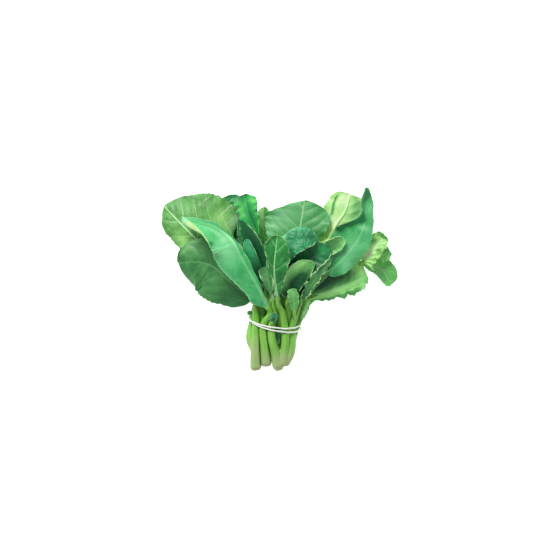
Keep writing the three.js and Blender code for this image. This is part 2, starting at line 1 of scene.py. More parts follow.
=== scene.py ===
# %% [markdown]
# # A bunch of Chinese broccoli on a worktop
#
# The real thing is a handful of young shoots. Juicy pale stalks run side by side through a thin white
# elastic, and broad waxy leaves fan out beyond it. The bunch lies on its side, and the camera looks
# straight down on it.
#
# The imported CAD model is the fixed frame. It holds every leaf and every stalk as a faceted solid at its
# real place, and this script swaps each of them for a finer piece.

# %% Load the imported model
import math

import bpy
import numpy as np
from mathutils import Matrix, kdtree


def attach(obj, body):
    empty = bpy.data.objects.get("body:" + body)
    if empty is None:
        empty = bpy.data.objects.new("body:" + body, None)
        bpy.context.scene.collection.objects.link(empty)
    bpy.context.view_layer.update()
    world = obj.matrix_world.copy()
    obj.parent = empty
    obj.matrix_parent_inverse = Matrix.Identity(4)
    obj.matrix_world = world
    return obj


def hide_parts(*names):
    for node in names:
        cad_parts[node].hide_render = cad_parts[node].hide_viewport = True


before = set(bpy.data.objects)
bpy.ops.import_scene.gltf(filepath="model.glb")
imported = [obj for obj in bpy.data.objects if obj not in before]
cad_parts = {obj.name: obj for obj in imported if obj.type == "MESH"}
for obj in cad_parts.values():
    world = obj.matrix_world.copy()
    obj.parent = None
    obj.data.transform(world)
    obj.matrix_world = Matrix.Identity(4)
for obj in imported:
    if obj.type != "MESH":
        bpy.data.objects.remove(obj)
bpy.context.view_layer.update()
MM = 0.001  # metres

# %% [markdown]
# ## The camera
#
# The photo shows the bunch small in the middle of a square frame, as a long lens does from overhead.
# One pixel of it is 1.25 mm at the height of the leaves, so the frame is 700 mm wide there. A lens that
# is far away keeps the high leaves from growing against the low ones, so the camera hangs 2.2 m above
# them.

# %% Hang the camera
VIEW_WIDTH = 700 * MM
VIEW_CENTRE = (6.25 * MM, 60 * MM)
LEAF_HEIGHT = 40 * MM
CAMERA_RISE = 2200 * MM

bpy.ops.object.camera_add(location=(*VIEW_CENTRE, LEAF_HEIGHT + CAMERA_RISE), rotation=(0, 0, 0))
camera = bpy.context.object
camera.data.lens = camera.data.sensor_width * CAMERA_RISE / VIEW_WIDTH
bpy.context.scene.camera = camera
print("lens:", round(camera.data.lens), "mm")

# %% [markdown]
# ## Small tools for colour and for shader nodes
#
# Colours are picked as #rrggbb codes, which are made for screens. Light adds up in linear numbers, so
# one function turns a code into those. A second one adds a shader node with its settings and its links,
# which keeps each material down to a short list that reads from top to bottom.

# %% Colour and node helpers
def linear(code):
    """The linear red, green, blue and alpha of a #rrggbb code."""
    parts = [int(code[i:i + 2], 16) / 255 for i in (1, 3, 5)]
    return (*[c / 12.92 if c <= 0.04045 else ((c + 0.055) / 1.055) ** 2.4 for c in parts], 1)


def fill(tree, node, inputs):
    """Gives a node's inputs numbers, colour codes or links."""
    for name, value in inputs.items():
        if isinstance(value, bpy.types.NodeSocket):
            tree.links.new(value, node.inputs[name])
        elif isinstance(value, str):
            node.inputs[name].default_value = linear(value)
        else:
            node.inputs[name].default_value = value


def add(tree, kind, inputs, **settings):
    """Adds a node, sets it up, fills its inputs and returns its outputs."""
    node = tree.nodes.new("ShaderNode" + kind)
    for name, value in settings.items():
        setattr(node, name, value)
    fill(tree, node, inputs)
    return node.outputs


def new_material(name):
    """A material with a Principled shader, and its node tree and shader."""
    material = bpy.data.materials.new(name)
    material.use_nodes = True
    return material, material.node_tree, material.node_tree.nodes["Principled BSDF"]


def ramp(tree, value, low, high, bottom=0.0, top=1.0):
    """A soft step of value, from bottom at low to top at high."""
    limits = {"From Min": low, "From Max": high, "To Min": bottom, "To Max": top}
    return add(tree, "MapRange", {"Value": value, **limits}, interpolation_type="SMOOTHSTEP")[0]


def noise(tree, place, scale, detail):
    """Soft random clouds, from 0 to 1."""
    return add(tree, "TexNoise", {"Vector": place, "Scale": scale, "Detail": detail})[0]


def stored(tree, name):
    """A number that the mesh keeps for its shader."""
    return add(tree, "Attribute", {}, attribute_name=name)["Fac"]


def paint(tree, colour, *layers):
    """A colour with other colours laid over it in turn, each by its share."""
    for share, over in layers:
        colour = add(tree, "MixRGB", {"Fac": share, "Color1": colour, "Color2": over})[0]
    return colour


print("mid green in linear numbers:", [round(c, 3) for c in linear("#5fae6c")])

# %% [markdown]
# ## Where everything lies
#
# The leaves and stalks keep the places of the CAD model, so nearly the same driving values stand here:
# each leaf's midrib as a few points, how wide it is, how it folds and curls, and each stalk's path to
# its leaf. A few leaves are a little fuller or more notched than there. The values are millimetres and
# degrees.
#
# A neck is where a stalk passes through the elastic: its place across and up, and its radius.

# %% Necks in the elastic
NECKS = {
    "farLeft": (-28, 17, 3.4),
    "left": (-23.4, 25.4, 4.4),
    "midLeft": (-14.2, 31, 4.5),
    "front": (-4.4, 32.4, 4.9),
    "frontRight": (12, 30.5, 4.7),
    "right": (21.4, 25.6, 4),
    "farRight": (26.6, 16.4, 4.2),
    "coreA": (-16.7, 17.5, 4.1),
    "coreB": (-6, 21.4, 4.5),
    "coreC": (4.6, 19, 4.5),
    "coreD": (15.6, 18.6, 4.2),
    "lowA": (-21, 9, 4.2),
    "lowB": (-10.4, 8.6, 4.5),
    "lowC": (0.6, 8.5, 4.5),
    "lowD": (11.2, 8, 4.5),
    "lowE": (21, 8.8, 4.2),
}
print("necks:", len(NECKS))

# %% [markdown]
# A leaf has its midrib from base to tip and the rib's half width. roll is how far its upper face leans
# to the right, in degrees, at base and tip. Each side has its greatest width, the angle at which it
# leaves the rib, and how far it curls on. wave gives the height, number and phase of the margin's
# waves, tooth the depth of its notches, and rows twice the number of its lobes. dents are wide bays:
# the side, the place along the leaf, the depth and the reach.
#
# No two leaves look alike, so each has a look of its own too. skin names its colours, and under those
# of its lower face. quilt is how high it puffs up between its side veins, savoy the height of small
# bumps all over it, frill how much its margin crimps, rim how pale its margin is, partly its own edge
# and partly a painted rim highlight, lip how far its rim curls up, and lean how slanted its side veins
# are. spots are soft patches of painted light and painted shade: the place along the leaf, the place
# across it from -1 to 1, how far the patch reaches along and across, and how much painted light, or
# below 0 how much painted shade, it adds. Above 1 it turns to a pale yellow-green, partly the colour of
# rolled and bleached leaf and partly painted light on leaf in shadow.

# %% Leaves on the left and in front
def side(w, fold=0, curl=(0, 0), **more):
    """One side of a leaf: its greatest width, its fold and its curl at base and tip."""
    return dict(w=w, fold=fold, curl=curl, **more)


LEAVES = {}


def add_leaf(name, finish, skin, rib_r, **more):
    """Notes a leaf: its kind in the CAD model, its skin, its rib's half width, and all else that it has."""
    LEAVES[name] = {"finish": finish, "skin": skin, "rib_r": rib_r, "roll": (0, 0), "tooth": 0.02, **more}


add_leaf("left_wide", "fresh", "young", 2.6, peak=0.58, blunt=0.9, wave=(3, 2.5, 0.2),
    rows=14, dents=[(1, 0.28, 0.4, 0.07), (1, 0.14, 0.6, 0.1)],
    rib=[(-38, 48, 13), (-83, 95, 18), (-116, 128, 15), (-141, 154, 5.5)],
    left=side(25, -8, (-10, -14), blunt=1.3), right=side(65, 4, (-12, -10), peak=0.44, blunt=1.05),
    quilt=0.35, lean=1.3, spots=[
        (0.48, 0.66, 0.08, 0.18, 1.15), (0.58, -0.6, 0.12, 0.35, 1.3), (0.3, 0.97, 0.1, 0.12, -0.5),
        (0.85, 0.8, 0.12, 0.4, -0.15), (0.7, 0.35, 0.1, 0.3, 0.2), (0.4, 0.93, 0.06, 0.1, -0.5)])
add_leaf("left_low", "deep", "meadow", 2.4, roll=(-6, -6), peak=0.5, blunt=0.85, wave=(2.5, 2.2, 0.6),
    rows=13,
    rib=[(-29, 35, 28), (-59, 60, 31), (-80, 78, 30), (-100, 83, 26), (-122, 81, 20)],
    left=side(42, -4, (-14, -14)), right=side(33, 6, (-10, -10)),
    quilt=0.6, spots=[
        (0.15, -0.7, 0.14, 0.4, -0.45), (0.62, 0.12, 0.06, 0.1, -0.4), (0.88, 0.7, 0.08, 0.16, 1.0),
        (0.76, 0.95, 0.1, 0.12, 1.0), (0.72, 0.6, 0.12, 0.3, 0.35)])
add_leaf("front_left", "glaucous", "jade", 2.8, roll=(-6, -8), peak=0.7, blunt=1.23, wave=(2.2, 2, 0.1),
    rows=15, dents=[(-1, 0.05, -0.9, 0.08), (-1, 0.81, 0.12, 0.1)],
    rib=[(-9, 25, 42), (-21, 51, 54), (-41, 86, 60), (-53, 109, 61), (-75, 125.5, 54), (-115, 138, 40)],
    left=side(37, 2, (-10, 215)), right=side(7.5, -56, (44, -50), peak=0.6, blunt=1),
    quilt=0.3, lip=-20, spots=[
        (0.55, -0.5, 0.16, 0.5, 0.75), (0.33, -0.5, 0.07, 0.5, -0.35), (0.62, 0, 0.1, 0.09, 1.4),
        (0.8, 0.7, 0.2, 0.5, -0.5), (0.25, -0.97, 0.25, 0.06, 0.9), (0.72, -0.8, 0.03, 0.16, -1.5),
        (0.92, -0.86, 0.05, 0.24, 2.0), (0.86, -0.92, 0.04, 0.2, 2.0), (0.79, -1.0, 0.05, 0.18, 2.2),
        (0.745, -1.0, 0.03, 0.14, 2.0)])
add_leaf("front_centre", "fresh", "spoon", 2.4, peak=0.68, blunt=1.6, wave=(1.6, 3, 0.3), tooth=0.04,
    rows=12,
    rib=[(3, 36, 48), (-1, 72, 65), (3, 115, 74)],
    left=side(14, 16, (10, 14), peak=0.84, blunt=3), right=side(19, 12, (-16, -10)),
    quilt=0.5, lip=30, spots=[
        (0.42, 0.5, 0.14, 0.3, -0.4), (0.7, 0.75, 0.1, 0.2, -0.25), (0.9, -0.4, 0.12, 0.4, 0.25)])
add_leaf("front_lobe", "fresh", "meadow", 1.8, roll=(-6, -6), peak=0.85, blunt=1.6, wave=(1.2, 2, 0.1),
    tooth=0.08, rows=9,
    rib=[(-3, 34, 39.5), (-7.5, 55, 46), (-12, 76, 48)],
    left=side(9.5, 6), right=side(8, 4),
    quilt=0.3, lip=20, rim=0.7, spots=[(0.8, -0.3, 0.3, 0.5, 0.15)])
add_leaf("front_cup", "fresh", "late", 2.2, roll=(10, 20), peak=0.5, blunt=1.1, wave=(1.5, 1.6, 0.4),
    rows=11,
    rib=[(17, 36, 38), (26, 60, 46), (48, 82, 52)],
    left=side(21, 10, (20, 14)), right=side(12, 8, (10, 10)),
    quilt=0.3, lip=20, rim=1.0, spots=[
        (0.8, -0.7, 0.2, 0.3, 1.0), (0.45, -0.95, 0.2, 0.3, 0.8), (0.1, 0, 0.14, 2, -1.0),
        (0.5, 0.6, 0.4, 0.6, -1.3), (0.4, -0.1, 0.16, 0.4, -0.9), (0.62, 0.05, 0.14, 0.3, -0.6)])
print("leaves so far:", len(LEAVES))

# %% Leaves in the middle and at the back
add_leaf("centre_dark", "deep", "shade", 2.2, roll=(0, 4), peak=0.5, blunt=1, wave=(1.6, 1.7, 0.8),
    rows=11,
    rib=[(15, 54, 33), (36, 82, 42), (69, 99, 48)],
    left=side(25, 14, (6, 6)), right=side(18, 6, (8, 8)),
    quilt=0.5, lip=15, spots=[
        (0.9, -0.3, 0.12, 0.5, 0.7), (0.67, -0.9, 0.25, 0.12, 0.5), (0.3, 0, 0.2, 2, -0.6)])
add_leaf("centre_savoy", "glaucous", "savoy", 2.2, roll=(-4, -8), peak=0.6, blunt=1.1,
    wave=(1.8, 3.4, 0.2), tooth=0.03, rows=12,
    rib=[(3, 62, 42), (13, 94, 57), (32, 110, 61), (51, 112, 57)],
    left=side(17, 6, (-20, -30)), right=side(14, 14, (-6, -6)),
    quilt=0.4, savoy=0.9, frill=0.6, lip=10, spots=[
        (0.9, -0.1, 0.1, 0.5, -0.6), (0.6, -0.9, 0.3, 0.15, 0.7), (0.4, -0.2, 0.2, 0.5, 0.2)])
add_leaf("centre_back", "glaucous", "broad", 2.8, roll=(-4, 0), peak=0.6, blunt=0.9, wave=(3, 2.4, 0.3),
    rows=14, dents=[(-1, 0.87, 0.12, 0.04)],
    rib=[(17, 62, 24), (30, 118, 33), (37, 160, 33)],
    left=side(47, 2, (-10, -8), blunt=2.4), right=side(36, 4, (-8, -4), peak=0.74, blunt=2.1),
    quilt=0.6, spots=[
        (0.72, -0.6, 0.16, 0.3, 0.8), (0.65, 0.55, 0.3, 0.4, -0.35), (0.3, 0, 0.2, 2, -0.4),
        (0.6, -0.8, 0.2, 0.3, 0.4)])
add_leaf("top_left", "fresh", "bright", 2.4, roll=(-4, 0), peak=0.85, blunt=1.6, wave=(2.5, 3.2, 0.5),
    tooth=0.04, rows=14, dents=[(-1, 0.84, 0.4, 0.08), (1, 0.58, -0.55, 0.1)],
    rib=[(-8, 64, 27), (-17, 104, 33), (-32, 140, 38), (-39, 167, 35)],
    left=side(21, 14, (-10, -30), peak=0.95, blunt=1.6), right=side(18, 34, (10, 0), blunt=5),
    quilt=0.5, frill=0.7, lip=-40, spots=[
        (0.7, 0.12, 0.2, 0.25, -0.8), (0.78, -0.6, 0.1, 0.25, 0.9), (0.88, 0.6, 0.05, 0.35, 1.1),
        (0.6, 0.8, 0.2, 0.16, 0.7), (0.99, -0.3, 0.06, 0.8, -0.9), (0.2, 0, 0.3, 2, -0.4)])
add_leaf("top_pale", "pale", "pale", 2, under="pale", roll=(172, 180), peak=0.6, blunt=1.2,
    wave=(1.8, 2.6, 0.1), tooth=0.04, rows=10,
    rib=[(-8, 68, 16), (-13, 112, 20), (-14, 152, 22)],
    left=side(13), right=side(13),
    quilt=0.4, frill=1.2, spots=[
        (0.85, 0.7, 0.3, 0.3, 0.9), (0.75, -0.4, 0.5, 0.4, -1.8), (0.35, 0, 0.25, 2, -0.9)])
add_leaf("mid_grey", "deep", "grey", 1.6, roll=(-10, -4), peak=0.5, blunt=0.8, wave=(1.2, 2, 0.2),
    rows=10,
    rib=[(-36, 99, 27), (-39, 117, 29), (-43, 138, 28)],
    left=side(9, -8, (-10, -10)), right=side(9, 0, (-10, -10)),
    quilt=0.2, spots=[(0.6, 0, 0.25, 0.5, 0.3)])
add_leaf("mid_folded", "deep", "shade", 2.2, roll=(4, 4), peak=0.45, blunt=1.1, wave=(1.2, 2, 0.7),
    rows=11,
    rib=[(-19, 58, 26), (-25, 94, 37), (-43, 134, 44)],
    left=side(11, -24), right=side(13, 12),
    quilt=0.2, lip=20, spots=[(0.7, 0.96, 0.5, 0.05, 1.0), (0.5, 0, 0.6, 1.2, -0.9)])
add_leaf("mid_small", "glaucous", "teal", 1.8, roll=(-4, 0), peak=0.65, blunt=1.1, wave=(1.2, 2, 0.4),
    tooth=0.03, rows=9,
    rib=[(-13, 52, 35), (-22, 80, 43), (-35, 111, 47)],
    left=side(10), right=side(4, 4),
    quilt=0.2, lip=20, spots=[(0.85, -0.4, 0.14, 0.5, 0.4), (0.2, 0, 0.4, 2, -1.4)])
add_leaf("back_left", "deep", "shade", 2.4, peak=0.76, blunt=1.3, wave=(1.6, 2.6, 0.5), tooth=0.03,
    rows=11,
    rib=[(-21, 66, 15), (-42, 118, 7), (-68, 163, 3)],
    left=side(16), right=side(26),
    quilt=0.5, frill=0.5, spots=[(0.3, 0, 0.4, 2, -0.8)])
print("leaves so far:", len(LEAVES))

# %% Leaves on the right
add_leaf("right_pale", "pale", "pale", 2.8, under="pale", roll=(176, 184), peak=0.72, blunt=0.9,
    wave=(2.5, 2.2, 0.1), tooth=0.03, rows=14,
    rib=[(40, 70, 20), (62, 102, 24), (76, 128, 26), (88, 146, 25), (95, 168, 21)],
    left=side(26, 0, (6, -30)), right=side(27, -4, (0, 10)),
    quilt=0.4, lip=10, spots=[
        (0.92, 0.33, 0.14, 0.4, 0.9), (0.33, 0.1, 0.22, 0.9, 2.2), (0.82, -0.6, 0.25, 0.4, -1.0),
        (0.91, 0.71, 0.04, 0.06, -1.4), (0.85, 0.69, 0.04, 0.06, -1.4), (0.79, 0.67, 0.04, 0.06, -1.4),
        (0.73, 0.63, 0.04, 0.06, -1.4), (0.67, 0.59, 0.04, 0.06, -1.4),
        (0.61, 0.52, 0.04, 0.06, -1.4)])
add_leaf("right_lip", "pale", "late", 1.8, under="pale", peak=0.6, blunt=1.2, wave=(1.2, 1.6, 0.1),
    rows=9,
    rib=[(52, 84, 38.5), (68, 97, 43), (87, 110, 47)],
    left=side(14, 14, (30, 30)), right=side(8, 4, (20, 30)),
    quilt=0.2, lip=30, rim=1.0, spots=[(0.6, 0, 0.3, 0.6, -0.7), (0.2, 0, 0.3, 2, 0.2)])
add_leaf("right_tall", "glaucous", "jade", 2.6, roll=(4, 4), peak=0.4, blunt=1.5, wave=(2.5, 2.4, 0.6),
    tooth=0.03, rows=15, dents=[(-1, 0.82, 0.7, 0.1)],
    rib=[(66, 68, 34), (90, 92, 38), (109, 122, 40), (114, 176, 36)],
    left=side(32, 2, (-6, 10), peak=0.5, blunt=2.6), right=side(18, -6, (-16, -20), blunt=0.9),
    quilt=0.3, spots=[
        (0.43, 0.1, 0.16, 0.6, 0.45), (0.57, -0.88, 0.12, 0.22, -1.3), (0.7, -0.75, 0.04, 0.35, -1.5),
        (0.76, -0.25, 0.035, 0.4, -1.8), (0.69, 0, 0.025, 0.7, 0.8), (0.95, -0.1, 0.06, 1.2, -1.6),
        (0.84, -0.4, 0.07, 0.6, -0.9), (0.85, 0.6, 0.06, 0.6, 0.6), (0.1, -0.3, 0.1, 1, -0.6),
        (0.24, -0.95, 0.14, 0.25, -1.3), (0.2, 0.5, 0.12, 0.5, 0.6)])
add_leaf("right_low", "fresh", "late", 2.6, peak=0.6, blunt=0.8, wave=(2.2, 4.5, 0.2), tooth=0.2,
    rows=15,
    rib=[(46, 38, 19), (80, 50, 18), (100, 58, 16), (117, 65, 12)],
    left=side(31, 10, (10, 0), peak=0.82, blunt=0.6), right=side(17, -8, (-22, -22)),
    quilt=0.5, frill=0.5, spots=[
        (0.25, -0.6, 0.25, 0.35, -1.0), (0.55, -0.7, 0.14, 0.4, -0.8), (0.88, -0.6, 0.14, 0.5, 1.2),
        (0.85, 0.8, 0.1, 0.3, 1.3), (0.35, 0.2, 0.5, 0.2, 1.1), (0.4, 0.5, 0.5, 0.06, 1.2),
        (0.4, 0.85, 0.6, 0.2, -0.45)])
add_leaf("right_dark", "deep", "shade", 2, roll=(10, 10), peak=0.5, blunt=1.2, wave=(1.2, 2, 0.3),
    tooth=0.03, rows=9,
    rib=[(40, 48, 22), (64, 67, 28), (88, 86, 31)],
    left=side(10, 4), right=side(14),
    quilt=0.2, rim=0.1, spots=[(0.4, 0, 0.5, 2, -0.7)])
add_leaf("far_right", "fresh", "late", 1.8, peak=0.6, blunt=0.8, wave=(1.5, 1.6, 0.2), tooth=0.03,
    rows=9,
    rib=[(114, 79, 14), (134, 74, 7), (148, 54, 1.8)],
    left=side(16, 6, (-10, -10)), right=side(10, 0, (-10, -10)),
    quilt=0.3, spots=[(0.3, 0, 0.3, 2, 0.2), (0.7, 0.4, 0.3, 0.5, -0.2)])
add_leaf("far_right_curly", "pale", "pale", 1.5, under="late", peak=0.5, blunt=0.5, wave=(3, 4.5, 0.1),
    tooth=0.14, rows=14, dents=[(-1, 0.1, -0.8, 0.12), (1, 0.06, -0.8, 0.1)],
    rib=[(111, 84, 23), (119, 92, 26), (128, 105, 27), (138, 117, 23)],
    left=side(14, 6, (20, 20)), right=side(13, 6, (20, 20)),
    quilt=1.4, savoy=1.0, frill=0.7, spots=[
        (0.35, -0.4, 0.2, 0.5, 1.5), (0.7, -0.4, 0.1, 0.4, -0.9), (0.55, 0.6, 0.08, 0.3, -0.7),
        (0.96, 0.1, 0.08, 0.9, -1.3)])
add_leaf("far_right_frill", "fresh", "late", 1.5, under="pale", peak=0.6, blunt=0.9, wave=(2, 3, 0.6),
    tooth=0.1, rows=9,
    rib=[(123, 86, 18), (134, 91, 19), (146, 96, 15)],
    left=side(10, 10), right=side(10),
    quilt=0.8, savoy=0.8, frill=0.8, spots=[(0.5, 0.4, 0.3, 0.5, 0.6)])
print("leaves so far:", len(LEAVES))

# %% Leaves below, tabs and scraps
add_leaf("under_left", "deep", "shade", 1.8, peak=0.45, blunt=0.2, wave=(1.2, 1.2, 0.3), tooth=0.03,
    rows=8,
    rib=[(-3.4, 23, 5.2), (-5, 52, 5.6), (-8, 84, 5)],
    left=side(20), right=side(24),
    quilt=0.3, spots=[(0.5, 0, 0.7, 2, -0.9)])
add_leaf("under_right", "deep", "shade", 1.8, peak=0.45, blunt=0.4, wave=(1.2, 1.2, 0.6), tooth=0.03,
    rows=8,
    rib=[(26, 31, 5.2), (34, 50, 5.6), (46, 76, 5)],
    left=side(17), right=side(20),
    quilt=0.3, spots=[(0.5, 0, 0.7, 2, -0.9)])
add_leaf("front_tab", "fresh", "late", 1.6, peak=0.7, blunt=0.8, wave=(1, 1.6, 0.2), tooth=0.25,
    rows=9,
    rib=[(24, 20, 40), (23.5, 34, 46), (21, 49, 50)],
    left=side(7.5, 8), right=side(7.5, 8),
    quilt=0.2, frill=0.8, spots=[(0.5, 0, 0.6, 2, -0.3)])
add_leaf("front_jagged", "fresh", "meadow", 1.6, peak=0.5, blunt=1.1, wave=(1, 4, 0.2), tooth=0.4,
    rows=14,
    rib=[(33, 32, 38), (47, 57, 52), (72, 88, 60)],
    left=side(7, 10), right=side(6, 20),
    quilt=0.3, frill=0.8, lip=30, rim=1.0, spots=[(0.15, 0, 0.2, 2, -0.5), (0.8, 0, 0.2, 2, -0.3)])
add_leaf("wing_right", "fresh", "late", 1.2, roll=(20, 20), peak=0.5, blunt=1, wave=(0.8, 3, 0.2),
    tooth=0.35, rows=10,
    rib=[(33.5, 10, 21.5), (38, 22, 25.5), (44, 36, 28)],
    left=side(3.4, 10), right=side(4.4),
    quilt=0.2, frill=0.8, spots=[(0.5, 0.1, 0.5, 0.5, 1.3)])
add_leaf("scrap_left", "deep", "meadow", 1.1, peak=0.5, blunt=0.9, wave=(0.6, 1, 0.2), tooth=0.05,
    rows=5,
    rib=[(-29, 17, 23), (-31.5, 18.5, 25), (-35, 18, 25)],
    left=side(3, 0, (20, 20)), right=side(3, 0, (20, 20)),
    quilt=0.1, spots=[(0.5, 0, 0.5, 2, -0.4)])
add_leaf("scrap_centre", "glaucous", "savoy", 1.2, peak=0.55, blunt=0.9, wave=(0.8, 1.4, 0.2), tooth=0.16,
    rows=5, dents=[(1, 0.4, 0.4, 0.12), (-1, 0.75, 0.3, 0.12)],
    rib=[(-3, 7, 41.5), (-1.6, 12, 45), (-3.4, 18.6, 47)],
    left=side(6, 0, (50, 50)), right=side(6, 0, (50, 50)),
    quilt=0.3, savoy=0.4, frill=1.5, lip=20, rim=0.7, spots=[
        (0.4, 0.2, 0.2, 0.5, -0.8), (0.8, -0.5, 0.2, 0.4, 0.6), (0.3, -0.8, 0.2, 0.3, 1.6)])
add_leaf("scrap_gap", "glaucous", "teal", 1, peak=0.45, blunt=0.9, wave=(0.4, 1.4, 0.2), tooth=0.05,
    rows=5,
    rib=[(3.6, -5, 25.4), (3.8, -12, 26), (3.6, -20, 26)],
    left=side(3), right=side(3),
    quilt=0.1, spots=[(0.5, 0, 0.5, 2, -0.4)])
print("leaves:", len(LEAVES), "with looks of their own")

# %% [markdown]
# A shoot is one grown stem with all its limbs. A limb runs through points of x, y, z and radius, or
# through a neck in the elastic, and ends at the base of its leaf.

# %% The stems
SHOOTS = {
    "left": [
        ([(-23.8, -54, 27, 5.4), (-24.3, -49.5, 27, 7.1), (-24.8, -27, 27, 5.8), "left",
          (-24.5, 22, 27, 3.4)],
         "left_low"),
        ([(-25, -33, 25, 3.6), (-32.2, -14, 20, 4.3), "farLeft", (-25.2, 28, 17.4, 2.8)], "back_left"),
        ([(-27.4, 14, 17, 1.4)], "scrap_left"),
    ],
    "mid_left": [
        ([(-10.8, -49, 27, 5), (-11.2, -44.5, 27, 6.7), (-13, -26, 29, 5.2), "midLeft"], "front_left"),
    ],
    "front": [
        ([(5.6, -54, 27, 4.6), (4, -47.5, 27, 7.4), (1, -34, 29, 5.8), (-3.8, -14, 31.6, 5), "front",
          (-1, 18, 32, 3.2)],
         "front_lobe"),
        ([(8, -48, 27, 6.4), (11.4, -32, 28.5, 5), (13, -14, 30, 4.7), "frontRight", (9, 20, 37, 3.6)],
         "front_centre"),
        ([(11.6, -47, 26, 5.2), (19.6, -32, 24.6, 4.9), (22, -14, 24.6, 4.2), "right"], "front_jagged"),
        ([(-4, 5, 34, 1.6)], "scrap_centre"),
        ([(24, 10, 29, 1.6)], "front_tab"),
    ],
    "far_right": [
        ([(21.2, -34, 14.5, 3.8), (22.3, -17, 15.6, 4.1), "farRight", (27.8, 12, 17, 3.9),
          (36.6, 25.6, 17, 3.5)],
         "right_low"),
        ([(29, 8, 17.5, 1.2)], "wing_right"),
        ([(33, 19, 17, 2.4), (46, 33.6, 11, 2.6), (62, 44, 8, 2.8), (88, 52, 7, 2.8), (104, 66, 8, 2.4)],
         "far_right"),
        ([(88, 50, 7, 2), (100, 69, 7, 2), (107, 81, 16, 2)], "far_right_curly"),
        ([(106, 79, 14.4, 1.8), (114, 85, 17, 1.6)], "far_right_frill"),
    ],
    "core_a": [
        ([(-17, -38, 14.6, 4.2), "coreA", (-17, 36, 22, 3)], "mid_folded"),
        ([(-17, 28, 21, 2.2), (-25, 52, 22.8, 2), (-33, 78, 24, 1.8)], "mid_grey"),
    ],
    "core_b": [
        ([(-7, -40, 15, 4.6), "coreB", (-7, 42, 23, 3.2)], "top_left"),
        ([(-7, 28, 22, 2), (-11, 40, 27, 2)], "mid_small"),
    ],
    "core_c": [
        ([(3, -39, 15, 4.6), "coreC", (4, 38, 27, 3)], "centre_savoy"),
        ([(4, 6, 18, 1.4), (3.6, 0, 23, 1.2)], "scrap_gap"),
    ],
    "core_d": [
        ([(12.6, -37, 14.5, 4), "coreD", (17, 22, 27, 3.6)], "front_cup"),
        ([(17, 18, 23, 2.4), (16, 40, 29, 2.4)], "centre_dark"),
    ],
    "low_a": [
        ([(-22, -40, 5.6, 4.4), "lowA", (-26, 34, 11, 3.2)], "left_wide"),
    ],
    "low_b": [
        ([(-12, -38, 5.4, 4.6), "lowB", (-9, 42, 12, 3)], "top_pale"),
        ([(-9, 12, 8.4, 2.4), (-5, 18, 5.4, 2)], "under_left"),
    ],
    "low_c": [
        ([(-2, -44, 5.6, 4.9), (0, -9, 4.24, 4.8), (0, 4, 4.24, 4.8), (0, 7, 5.6, 4.8), "lowC",
          (8.4, 36, 14, 4.6)],
         "centre_back"),
    ],
    "low_d": [
        ([(9, -40, 5.2, 4.5), "lowD", (21.6, 40, 12, 4)], "right_pale"),
        ([(20, 36, 12, 2.2), (30, 54, 25, 2.2), (42, 72, 35, 1.9)], "right_lip"),
    ],
    "low_e": [
        ([(19, -38, 5, 4.2), "lowE", (24, 22, 9.5, 3.5), (33.4, 36.6, 22.6, 3.3)], "right_tall"),
        ([(23, 17, 9.3, 2.4), (24.6, 25, 6.2, 2)], "under_right"),
        ([(28, 27, 16, 2.2), (34, 40, 21, 2)], "right_dark"),
    ],
}
print("stems:", len(SHOOTS))

# %% [markdown]
# ## One leaf blade
#
# A leaf of this plant is a thin waxy sheet, stiffened by a thick midrib and by side veins that run out
# of it in pairs. Sculpting by hand would give one fine leaf, but there are 31, so the sheet is worked
# out by a formula. A flat grid is added, and each of its points is sent to a place on the leaf. Its y
# is the share of the way along the midrib, and its x runs from the left margin, over the midrib, to the
# right margin.
#
# First comes the line of the midrib: a smooth curve through a few points.

# %% A smooth curve through points
def curve_at(points, t):
    """Places and directions at t, from 0 to 1, on the smooth curve that passes through the points."""
    knots = np.array([p[:3] for p in points], float)
    knots = np.vstack([2 * knots[0] - knots[1], knots, 2 * knots[-1] - knots[-2]])
    spans = len(points) - 1
    first = np.clip((t * spans).astype(int), 0, spans - 1)
    w = (t * spans - first)[:, None]
    a, b, c, d = (knots[first + i] for i in range(4))
    pairs = ((a, b), (b, c), (c, d))
    ab, bc, cd = (np.sqrt(np.linalg.norm(q - p, axis=1, keepdims=True)) for p, q in pairs)
    leaving = bc * ((b - a) / ab - (c - a) / (ab + bc) + (c - b) / bc)
    arriving = bc * ((c - b) / bc - (d - b) / (bc + cd) + (d - c) / cd)
    square = 3 * (c - b) - 2 * leaving - arriving
    cube = 2 * (b - c) + leaving + arriving
    heading = leaving + 2 * square * w + 3 * cube * w**2
    heading /= np.linalg.norm(heading, axis=1, keepdims=True)
    return b + leaving * w + square * w**2 + cube * w**3, heading


def mix(low, high, share):
    return low + (high - low) * share


LENGTH_STEPS = 200


def length_of(points):
    """Length of the curve through the points, in mm."""
    places = curve_at(points, np.linspace(0, 1, LENGTH_STEPS))[0]
    return np.linalg.norm(np.diff(places, axis=0), axis=1).sum()


print("longest midrib:", round(max(length_of(leaf["rib"]) for leaf in LEAVES.values())), "mm")

# %% [markdown]
# Each point of the midrib carries a small frame of three directions: along the rib, up out of the
# leaf's upper face, and across to the right. The leaf may lean, so the frame rolls about the rib.

# %% The frame along a midrib
TIP_RIB = 0.5  # half width of the midrib at the tip, mm
RIB_TAPER = 0.7


def rib_frames(leaf, u):
    """Places, along, up and across directions, and the rib's half width, at the shares u of the rib."""
    place, along = curve_at(leaf["rib"], u)
    up = np.array([0, 0, 1.0]) - along * along[:, 2:]
    up /= np.linalg.norm(up, axis=1, keepdims=True)
    across = np.cross(along, up)
    roll = np.radians(mix(*leaf["roll"], u))[:, None]
    leaned = up * np.cos(roll) + across * np.sin(roll)
    return place, along, leaned, np.cross(along, leaned), mix(leaf["rib_r"], TIP_RIB, u**RIB_TAPER)


# %% [markdown]
# The outline swells from the base to its widest place and closes at the tip. The margin has shallow
# lobes with sharp notches between them, and small uneven teeth on top, drawn at random from a fixed
# seed.

